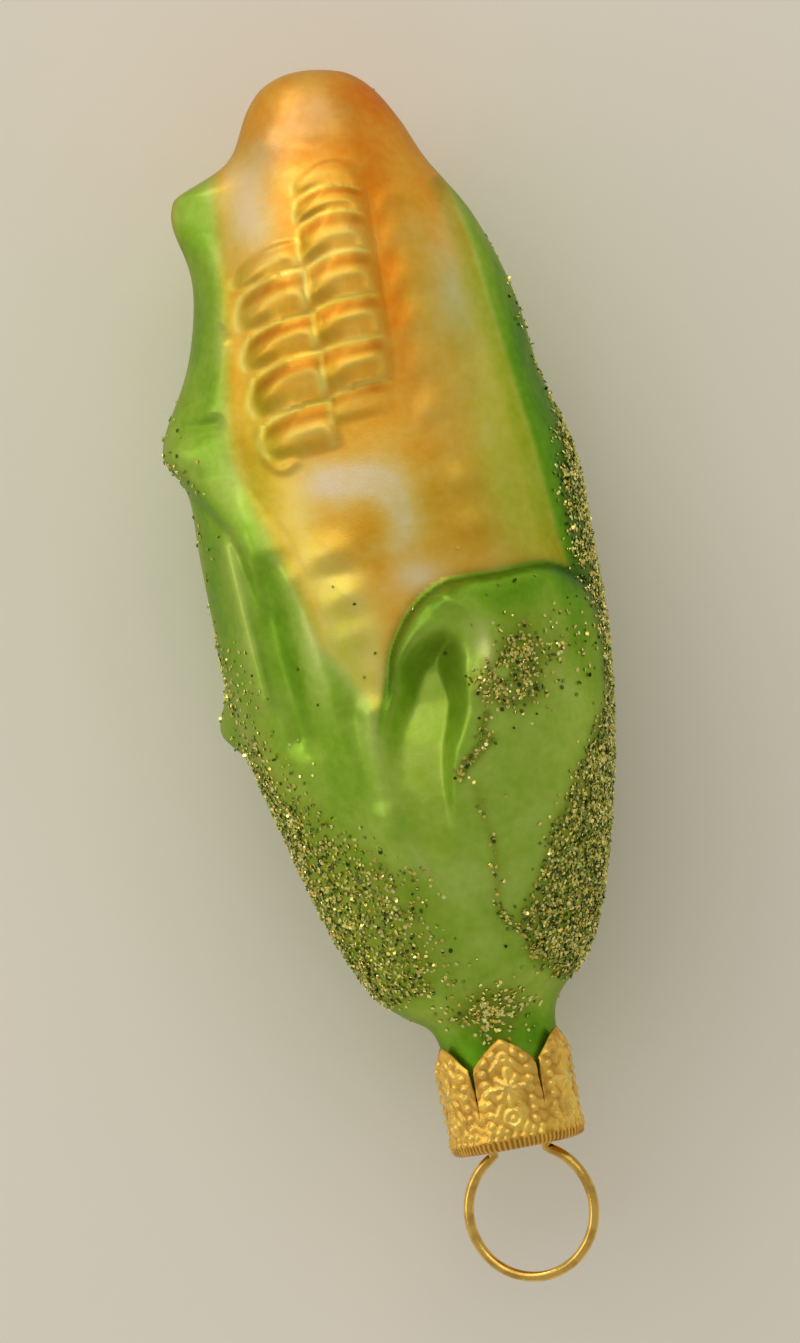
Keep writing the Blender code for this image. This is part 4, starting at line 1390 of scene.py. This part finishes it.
@dataclass(frozen=True)
class Skin:
    """The outer skin of the glass as rows and columns of places."""

    places: Grid
    angle: Grid

    def cells(self) -> tuple[Grid, Grid, Grid]:
        """Middles, outward normals and areas of the skin's cells."""
        ring = np.concatenate([self.places, self.places[:, :1]], axis=1)
        rise = ring[1:, :-1] - ring[:-1, :-1]
        run = ring[:-1, 1:] - ring[:-1, :-1]
        cross = np.cross(rise, run)
        area = np.linalg.norm(cross, axis=-1)
        middle = 0.25 * (ring[1:, 1:] + ring[1:, :-1] + ring[:-1, 1:] + ring[:-1, :-1])
        outward = cross / np.maximum(area, 1e-9)[..., None]
        return middle, outward, area


class Zone(Enum):
    """Sides of the husk; the glitter of each is one piece."""

    LEFT = "glitter_left"
    RIGHT = "glitter_right"
    BACK = "glitter_back"

    def holds(self, places: Grid, normals: Grid) -> Grid:
        """Which of the flakes lie in the zone."""
        behind = normals[:, 2] < 0
        if self is Zone.BACK:
            return behind
        rightward = places[:, 0] > 0
        return ~behind & (rightward if self is Zone.RIGHT else ~rightward)


@dataclass
class Glitter:
    """Loose glitter stuck to the husk, each flake a thin six-cornered plate lying its own way."""

    bench: Bench
    seed: int = 7
    spread: GlitterSpread = GlitterSpread()
    corners: int = 6
    half: Span = (0.12, 0.24)
    corner_reach: Span = (0.75, 1.1)
    thick: float = 0.08
    lean: float = 0.6
    scatter_by: float = 0.15
    embedded: float = 0.04
    floor_clearance: float = 0.45
    rest_depth: float = 17.9
    neck_start: Span = (9.0, 10.5)
    lie_flat: float = 0.7
    stand_off: float = 0.6
    tone: float = 0.66
    tone_spread: float = 0.3
    darker_right: float = 0.08
    paler_neck: float = 0.35
    finish: GlitterFlake = GlitterFlake()

    def scatter(self, skin: Skin) -> tuple[Grid, Grid]:
        """Choose the places of the flakes.

        Args:
            skin: The outer skin of the glass.

        Returns:
            Places in millimetres and outward normals, one row for each flake.
        """
        middle, outward, area = skin.cells()
        across, along = middle[..., 0], middle[..., 1]
        angle = skin.angle[None, :] + 0 * along
        front = fade(np.sin(angle), -0.25, 0.1)
        density = front * self.spread.front_density(across, along)
        density += (1 - front) * self.spread.back_density(angle, along)
        clear = middle[..., 2] > self.floor_clearance - self.rest_depth
        expected = density * area * clear * fade(along, *self.neck_start)
        rng = np.random.default_rng(self.seed)
        counts = rng.poisson(expected)
        rows, columns = np.nonzero(counts)
        repeats = counts[rows, columns]
        rows, columns = np.repeat(rows, repeats), np.repeat(columns, repeats)
        normal = outward[rows, columns]
        shift = self.scatter_by * rng.standard_normal((len(rows), 3))
        shift -= (shift * normal).sum(axis=1, keepdims=True) * normal
        return middle[rows, columns] + shift, normal

    def plates(self, places: Grid, normals: Grid) -> Grid:
        """Corners of the flakes, as (flakes, corners of both sides, 3)."""
        rng = np.random.default_rng(self.seed + 1)
        column = (len(places), 1)
        tilt = rng.standard_normal((len(places), 3)) * rng.random(column) ** self.lie_flat
        facing = normals + self.lean * tilt
        facing /= np.linalg.norm(facing, axis=1, keepdims=True)
        upright = np.where(np.abs(facing[:, 2:3]) < 0.9, [[0.0, 0.0, 1.0]], [[1.0, 0.0, 0.0]])
        side = np.cross(facing, upright)
        side /= np.linalg.norm(side, axis=1, keepdims=True)
        other = np.cross(facing, side)
        half = rng.uniform(*self.half, column)
        slant = np.sqrt(np.clip(1 - (facing * normals).sum(axis=1, keepdims=True) ** 2, 0.0, 1.0))
        middle = places + normals * (self.embedded + self.stand_off * half * slant)
        spin = rng.uniform(0.0, math.tau, column)
        rings = []
        for level in (-0.5, 0.5):
            for corner in range(self.corners):
                turn = spin + math.tau * corner / self.corners
                reach = half * rng.uniform(*self.corner_reach, column)
                rim = reach * (side * np.cos(turn) + other * np.sin(turn))
                rings.append(middle + rim + facing * level * self.thick)
        return np.stack(rings, axis=1)

    def tones(self, places: Grid) -> Grid:
        """How golden each flake is, from 0 for dark green to 1 for pale gold."""
        across, along = places[:, 0], places[:, 1]
        mean = self.tone - self.darker_right * fade(across, 0.0, 6.0) * fade(along, 42.0, 38.0)
        mean = mean + self.paler_neck * fade(along, 17.0, 14.0)
        rng = np.random.default_rng(self.seed + 2)
        return np.clip(rng.normal(mean, self.tone_spread), 0.0, 1.0)

    def faces(self, count: int) -> list:
        """Faces of a number of flakes: two sides and the thin edge between them."""
        n = self.corners
        plate = [tuple(range(n))[::-1], tuple(range(n, 2 * n))]
        plate += [(i, (i + 1) % n, n + (i + 1) % n, n + i) for i in range(n)]
        return [tuple(2 * n * flake + v for v in face) for flake in range(count) for face in plate]

    def build(self, skin: Skin, effects: Effects) -> list[bpy.types.Object]:
        """Make the glitter.

        Args:
            skin: The outer skin of the glass.
            effects: The shared node groups.

        Returns:
            One piece for each zone.
        """
        places, normals = self.scatter(skin)
        plates, tones = self.plates(places, normals), self.tones(places)
        finish = self.finish.build(effects)
        pieces = []
        for zone in Zone:
            chosen = zone.holds(places, normals)
            vertices = self.bench.metres(plates[chosen])
            tone = np.repeat(tones[chosen], 2 * self.corners)
            faces = self.faces(int(chosen.sum()))
            piece = mesh_object(zone.value, vertices, faces, finish, {"tone": tone}, 30.0)
            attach(piece, "root")
            pieces.append(piece)
        return pieces


# ---- Cap and hanger ----


@dataclass(frozen=True)
class Stroke:
    """A straight line stamped in the sheet."""

    height: float
    half: float
    start: Span
    end: Span

    def relief(self, x: Grid, y: Grid) -> Grid:
        """Height that the line adds at each place."""
        return self.height * bell(route_distance(x, y, (self.start, self.end)), self.half)


@dataclass(frozen=True)
class Ring:
    """A ring stamped in the sheet, or a soft dot where its radius is 0."""

    height: float
    half: float
    centre: Span
    radius: float = 0.0

    def relief(self, x: Grid, y: Grid) -> Grid:
        """Height that the ring adds at each place."""
        away = np.hypot(x - self.centre[0], y - self.centre[1])
        return self.height * bell(away - self.radius, self.half)


@dataclass(frozen=True)
class Bead:
    """A round bead stamped in the sheet, with a crisp foot."""

    height: float
    radius: float
    centre: Span
    fullness: float = 0.6

    def relief(self, x: Grid, y: Grid) -> Grid:
        """Height that the bead adds at each place."""
        away = np.hypot(x - self.centre[0], y - self.centre[1]) / self.radius
        return self.height * np.clip(1 - away, 0, 1) ** self.fullness


@dataclass
class StampedCap:
    """The sheet-metal crown cap: six embossed petals, a knurled rim and a disc with two holes."""

    bench: Bench
    radius: float = 6.35
    sheet: float = 0.35
    round_edge: float = 0.5
    petals: int = 6
    columns: int = 44
    low_rows: int = 18
    petal_rows: int = 40
    slit_bottom: float = 3.3
    slit_half_angle: float = 2.3
    shoulder: float = 8.1
    tip: float = 10.6
    flare: float = 0.15
    hole_radius: float = 0.95
    hole_apart: float = 2.75
    hole_turn: float = 20.0
    knurls: int = 84
    pressing: float = 1.25
    dent_seed: int = 5
    dent_waves: int = 7
    dent_size: Span = (1.3, 3.2)
    dent_depth: float = 0.065
    star_at: float = 5.8
    star_hub: float = 0.22
    star_rays: tuple[float, ...] = (1.75, 1.35) * 4
    boss: Span = (0.0, 2.9)
    top_ring: Span = (0.0, 8.7)
    side_strokes: tuple[tuple[Span, Span], ...] = (
        ((1.35, 3.4), (0.9, 4.2)), ((1.3, 2.2), (1.0, 1.7)), ((0.6, 8.3), (1.2, 7.7)),
    )
    low_strokes: range = range(-3, 4)
    bead_inset: float = 1.15
    bead_start: float = 2.5
    bead_pitch: float = 0.98
    beads_up: int = 6
    top_beads: Span = (0.58, 0.32)
    top_inset: float = 0.95
    knurl_depth: float = 0.07
    knurled: Span = (1.05, 0.8)
    rim_bead: float = 0.12
    unround: float = 0.05
    curl: float = 0.18
    end_rings: Route = ((0.15, 0.35), (0.5, 0.5), (1.1, 0.52))
    hole_corners: int = 24
    weld: float = 0.004
    finish: StampedGold = StampedGold()

    def petal_edge(self, share: Grid | float) -> Grid:
        """Height of a petal's top edge, with share from -1 to 1 across the petal."""
        return self.tip - (self.tip - self.shoulder) * np.abs(share) ** 1.25

    def petal_half(self) -> float:
        """Half the width of a petal, along the cap's wall."""
        return self.radius * math.pi / self.petals

    def figures(self) -> list[Stroke | Ring | Bead]:
        """A petal's stamped figures: star, ringed boss, strokes and beads, with x from its middle."""
        figures = [Ring(0.17, 0.17, self.boss, 0.72), Ring(0.2, 0.3, self.boss),
                   Ring(0.15, 0.16, self.top_ring, 0.35)]
        for ray, reach in enumerate(self.star_rays):
            turn = math.tau * ray / len(self.star_rays)
            ends = [(r * math.cos(turn), self.star_at + r * math.sin(turn)) for r in (self.star_hub, reach)]
            figures.append(Stroke(0.17, 0.17, *ends))
        for side in (-1, 1):
            for (x0, y0), (x1, y1) in self.side_strokes:
                figures.append(Stroke(0.14, 0.2, (side * x0, y0), (side * x1, y1)))
        for step in self.low_strokes:
            figures.append(Stroke(0.15, 0.17, (0.85 * step + 0.15, 1.15), (0.85 * step - 0.1, 1.75)))
        return figures + [Bead(0.22, 0.34, place) for place in self.beads()]

    def emboss(self, x: Grid, y: Grid) -> Grid:
        """Height of the stamped pattern on a petal.

        Args:
            x: Distance along the wall from the petal's middle line.
            y: Height above the disc.

        Returns:
            Height above the plain sheet.
        """
        height = np.zeros(x.shape)
        for figure in self.figures():
            height = np.maximum(height, figure.relief(x, y))
        return height

    def dents(self, angle: Grid, y: Grid) -> Grid:
        """Shallow uneven dents that pressing has left in the thin sheet."""
        rng = np.random.default_rng(self.dent_seed)
        waves = np.zeros(y.shape)
        for _ in range(self.dent_waves):
            heading, phase = rng.uniform(0.0, math.tau, 2)
            number = math.tau / rng.uniform(*self.dent_size)
            around = round(number * math.cos(heading) * self.radius)
            waves += np.sin(around * angle + number * math.sin(heading) * y + phase)
        creased = np.abs(waves) / math.sqrt(self.dent_waves)
        return self.dent_depth * creased * fade(y, 1.0, 1.8)

    def beads(self) -> list[Span]:
        """Places of the beads that follow a petal's edges."""
        places = []
        for side in (-1, 1):
            for i in range(self.beads_up):
                places.append((side * (self.petal_half() - self.bead_inset),
                               self.bead_start + self.bead_pitch * i))
            for step in self.top_beads:
                under = float(self.petal_edge(step)) - self.top_inset
                places.append((side * self.petal_half() * step, under))
        return places

    def wall(self) -> tuple[Grid, list, Grid]:
        """The cup's embossed wall.

        Returns:
            Vertices in millimetres, faces, and how far each vertex is raised from -1 to 1.
        """
        half = math.pi / self.petals
        share = np.linspace(-1.0, 1.0, self.columns + 1)
        low = np.linspace(self.round_edge, self.slit_bottom, self.low_rows)
        rise = np.linspace(0.0, 1.0, self.petal_rows + 1)[1:]
        vertices, faces, raised = [], [], []
        start = 0
        for petal in range(self.petals):
            middle = math.pi / 2 + 2 * half * petal
            y_low = low[:, None] + 0 * share[None, :]
            top = self.petal_edge(share)[None, :]
            y_high = self.slit_bottom + rise[:, None] * (top - self.slit_bottom)
            y = np.vstack([y_low, y_high])
            slit = np.concatenate([0 * low, rise])[:, None] * math.radians(self.slit_half_angle)
            angle = middle + share[None, :] * (half - slit)
            x = self.radius * (angle - middle)
            near_edge = fade(1 - np.abs(share[None, :]), 0.0, 0.12) * fade(top - y, 0.0, 0.5)
            stamped = self.pressing * self.emboss(x, y) * np.where(y > self.slit_bottom, near_edge, 1.0)
            ridges = self.knurl_depth * np.cos(self.knurls * angle + 2 * np.sin(5 * angle))
            ridges = ridges * fade(y, *self.knurled)
            dents = self.dents(angle, y)
            wave = self.unround * np.sin(7 * angle + 0.6 * y) + dents
            flare = self.flare * np.clip((y - self.slit_bottom) / (self.tip - self.slit_bottom), 0, 1)
            curl = -self.curl * fade(top - y, 0.5, 0.0)
            bead = self.rim_bead * bell(y - 1.0 - 0.08 * np.sin(13 * angle), 0.16)
            radius = self.radius + flare + stamped + ridges + wave + curl + bead
            places = np.stack([radius * np.cos(angle), y, radius * np.sin(angle)], axis=-1)
            vertices.append(places.reshape(-1, 3))
            # raised: where the cap's painted highlights and painted shade lie
            raised.append((stamped / 0.16 - 0.08 + 6.0 * ridges + 5.0 * (dents - 0.06)).ravel())
            rows, columns = y.shape
            faces += grid_faces(start, rows, columns)
            start += rows * columns
        return np.vstack(vertices), faces, np.concatenate(raised)

    def build(self, effects: Effects) -> bpy.types.Object:
        """Make the cap.

        Args:
            effects: The shared node groups.

        Returns:
            The piece.
        """
        vertices, faces, raised = self.wall()
        finish = self.finish.build(effects)
        masks = {"raised": np.clip(raised, -1.0, 1.0)}
        piece = mesh_object("stamped_cap", self.bench.metres(vertices), faces, finish, masks, 60.0)
        self.close_end(piece)
        sheet = piece.modifiers.new("sheet_metal", "SOLIDIFY")
        sheet.thickness = self.sheet * MM
        sheet.offset = -1.0
        sheet.use_even_offset = False
        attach(piece, "root")
        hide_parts("cap")
        return piece

    def close_end(self, piece: bpy.types.Object) -> None:
        """Join the petals below their slits, and add the rounded edge and the disc with its holes."""
        bm = bmesh.new()
        bm.from_mesh(piece.data)
        bmesh.ops.remove_doubles(bm, verts=bm.verts, dist=self.weld * MM)
        origin = self.bench.origin
        edges = [edge for edge in bm.edges if edge.is_boundary and self.is_rim(edge)]
        for inward, drop in self.end_rings:
            edges = self.grow(bm, edges, inward, drop)
        turn = math.radians(self.hole_turn)
        for side in (-1, 1):
            centre = origin + Vector((math.cos(turn), 0.0, math.sin(turn))) * side * self.hole_apart * MM
            loop = []
            for i in range(self.hole_corners):
                a = math.tau * i / self.hole_corners
                spoke = Vector((math.cos(a), 0.0, math.sin(a))) * self.hole_radius * MM
                loop.append(bm.verts.new(centre + spoke))
            edges += [bm.edges.new((loop[i - 1], loop[i])) for i in range(self.hole_corners)]
        bmesh.ops.triangle_fill(bm, use_beauty=True, use_dissolve=False, edges=edges)
        bmesh.ops.recalc_face_normals(bm, faces=bm.faces)
        bm.to_mesh(piece.data)
        bm.free()
        piece.data.shade_smooth()
        piece.data.set_sharp_from_angle(angle=math.radians(50))

    def is_rim(self, edge: bmesh.types.BMEdge) -> bool:
        """Whether an edge lies on the lowest ring of the wall."""
        level = self.bench.origin.y + (self.round_edge + 0.02) * MM
        return all(v.co.y < level for v in edge.verts)

    def grow(self, bm: bmesh.types.BMesh, rim: list[bmesh.types.BMEdge], inward: float,
             drop: float) -> list[bmesh.types.BMEdge]:
        """Add a ring of faces to the rim.

        Args:
            bm: The cap's mesh.
            rim: The edges that the ring starts from.
            inward: How far the ring's other side lies inside the wall.
            drop: How far it lies below the wall's lowest row.

        Returns:
            The edges of the ring's other side.
        """
        origin = self.bench.origin
        centre = Vector((origin.x, origin.y + (self.round_edge - drop) * MM, origin.z))
        pairs = [tuple(edge.verts) for edge in rim]
        inner = {}
        for vertex in dict.fromkeys(vertex for pair in pairs for vertex in pair):
            out = Vector((vertex.co.x - origin.x, 0.0, vertex.co.z - origin.z)).normalized()
            inner[vertex] = bm.verts.new(centre + out * (self.radius - inward) * MM, vertex)
        for a, b in pairs:
            bm.faces.new((a, b, inner[b], inner[a]))
        return [bm.edges.get((inner[a], inner[b])) for a, b in pairs]


@dataclass
class WireHanger:
    """The wire: a round hanging ring whose two legs pass the cap's holes and spread in the neck."""

    bench: Bench
    wire_radius: float = 0.49
    ring_radius: float = 6.3
    ring_centre: float = -6.25
    leg_apart: float = 2.75
    turn: float = 20.0
    ring_steps: int = 120
    sides: int = 20
    leg: Route = ((2.75, 1.0), (2.85, 4.0), (3.2, 9.0), (3.8, 13.0), (5.2, 17.0), (6.6, 20.0))
    finish: BrassWire = BrassWire()

    def route(self) -> Grid:
        """Middle line of the wire in its own plane."""
        opening = math.asin(self.leg_apart / self.ring_radius)
        leg = smooth_route(self.leg)
        ring = []
        for i in range(self.ring_steps + 1):
            a = opening + (math.tau - 2 * opening) * i / self.ring_steps
            ring.append((self.ring_radius * math.sin(a), self.ring_centre + self.ring_radius * math.cos(a)))
        return np.array(list(leg[::-1]) + ring + [(-x, y) for x, y in leg])

    def build(self, effects: Effects) -> bpy.types.Object:
        """Make the wire.

        Args:
            effects: The shared node groups.

        Returns:
            The piece.
        """
        line = self.route()
        way = np.gradient(line, axis=0)
        way /= np.linalg.norm(way, axis=1, keepdims=True)
        across = np.stack([way[:, 1], -way[:, 0]], axis=1)
        rings = []
        for i in range(self.sides):
            a = math.tau * i / self.sides
            flat = line + across * self.wire_radius * math.cos(a)
            rings.append(np.column_stack([flat, np.full(len(flat), self.wire_radius * math.sin(a))]))
        tube = np.stack(rings, axis=1)
        turned = math.radians(self.turn)
        x, y, z = tube[..., 0], tube[..., 1], tube[..., 2]
        places = np.stack([x * math.cos(turned) - z * math.sin(turned), y,
                           x * math.sin(turned) + z * math.cos(turned)], axis=-1)
        count = len(line)
        faces = ring_faces(count, self.sides)
        faces.append(tuple(range(self.sides)))
        faces.append(tuple(range((count - 1) * self.sides, count * self.sides))[::-1])
        finish = self.finish.build(effects)
        piece = mesh_object("hanging_ring", self.bench.metres(places), faces, finish)
        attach(piece, "root")
        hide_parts("hanger")
        return piece


# ---- Studio ----


@dataclass(frozen=True)
class SoftLight:
    """A square soft light: where it stands, its side and its power."""

    name: str
    place: tuple[float, float, float]
    side: float
    power: float
    colour: Colour

    def build(self, target: Vector) -> bpy.types.Object:
        """Put up the light, turned towards a point."""
        lamp = bpy.data.lights.new(self.name, "AREA")
        lamp.size = self.side
        lamp.energy = self.power
        lamp.color = self.colour
        light = bpy.data.objects.new(self.name, lamp)
        light.location = Vector(self.place)
        light.rotation_euler = (target - light.location).to_track_quat("-Z", "Y").to_euler()
        bpy.context.scene.collection.objects.link(light)
        return light


@dataclass
class Studio:
    """Pale board, soft lights and a camera straight above the ornament."""

    floor_side: float = 8.0
    camera_distance: float = 1.2
    frame_height: float = 0.1276
    frame_middle: Span = (-0.0011, 0.00081)
    up: tuple[float, float, float] = (0.1874, 0.9823, 0.0)
    sensor: float = 36.0
    room: Colour = (0.44, 0.42, 0.37)
    lights: tuple[SoftLight, ...] = (
        SoftLight("window", (-0.3, 1.85, 1.45), 3.2, 27.0, (1.0, 0.95, 0.88)),
        SoftLight("low", (-0.9, 2.0, 0.5), 0.9, 4.5, (1.0, 0.95, 0.88)),
        SoftLight("side", (-1.6, 0.4, 0.75), 1.0, 3.2, (1.0, 0.96, 0.90)),
    )
    board: PaleBoard = PaleBoard()

    def lay_floor(self, effects: Effects) -> bpy.types.Object:
        """Lay the pale board."""
        side = 0.5 * self.floor_side
        places = np.array([(-side, -side, 0.0), (side, -side, 0.0), (side, side, 0.0), (-side, side, 0.0)])
        floor = mesh_object("floor", places, [(0, 1, 2, 3)], self.board.build(effects))
        return floor

    def fill_room(self) -> None:
        """Give the room a dim even light, and show colours as they are."""
        world = bpy.data.worlds.new("room")
        world.use_nodes = True
        background = world.node_tree.nodes["Background"]
        background.inputs["Color"].default_value = (*self.room, 1.0)
        background.inputs["Strength"].default_value = 1.0
        scene = bpy.context.scene
        scene.world = world
        scene.view_settings.view_transform = "Standard"

    def set_camera(self, height: float) -> bpy.types.Object:
        """Hang the camera over the ornament, at its distance above the ornament's middle height."""
        lens = bpy.data.cameras.new("camera")
        lens.sensor_fit = "AUTO"
        lens.sensor_width = self.sensor
        lens.lens = self.sensor * self.camera_distance / self.frame_height
        camera = bpy.data.objects.new("camera", lens)
        up = Vector(self.up).normalized()
        right = up.cross(Vector((0.0, 0.0, 1.0)))
        turn = Matrix((right, up, Vector((0.0, 0.0, 1.0)))).transposed().to_4x4()
        turn.translation = Vector((*self.frame_middle, height + self.camera_distance))
        camera.matrix_world = turn
        bpy.context.scene.collection.objects.link(camera)
        bpy.context.scene.camera = camera
        return camera

    def build(self, effects: Effects, middle_height: float) -> None:
        """Set up floor, room, lights and camera."""
        self.lay_floor(effects)
        self.fill_room()
        for light in self.lights:
            light.build(Vector((0.0, 0.0, middle_height)))
        self.set_camera(middle_height)


def corners(box: tuple[Vector, Vector]) -> list[list[float]]:
    """A box's lowest and highest corners as plain numbers."""
    return [[float(v) for v in corner] for corner in box]


def main() -> None:
    """Build the ornament's looks and the studio round it."""
    logging.basicConfig(level=logging.INFO, format="%(message)s")
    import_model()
    bench = Bench.under_cap()
    effects = Effects()
    glass, skin = GlassBody(bench).build(effects)
    pieces = [
        glass,
        *Glitter(bench).build(skin, effects),
        StampedCap(bench).build(effects),
        WireHanger(bench).build(effects),
    ]
    Studio().build(effects, bench.origin.z)
    for piece in pieces:
        log.info("%s: %d faces", piece.name, len(piece.data.polygons))


if __name__ == "__main__":
    main()
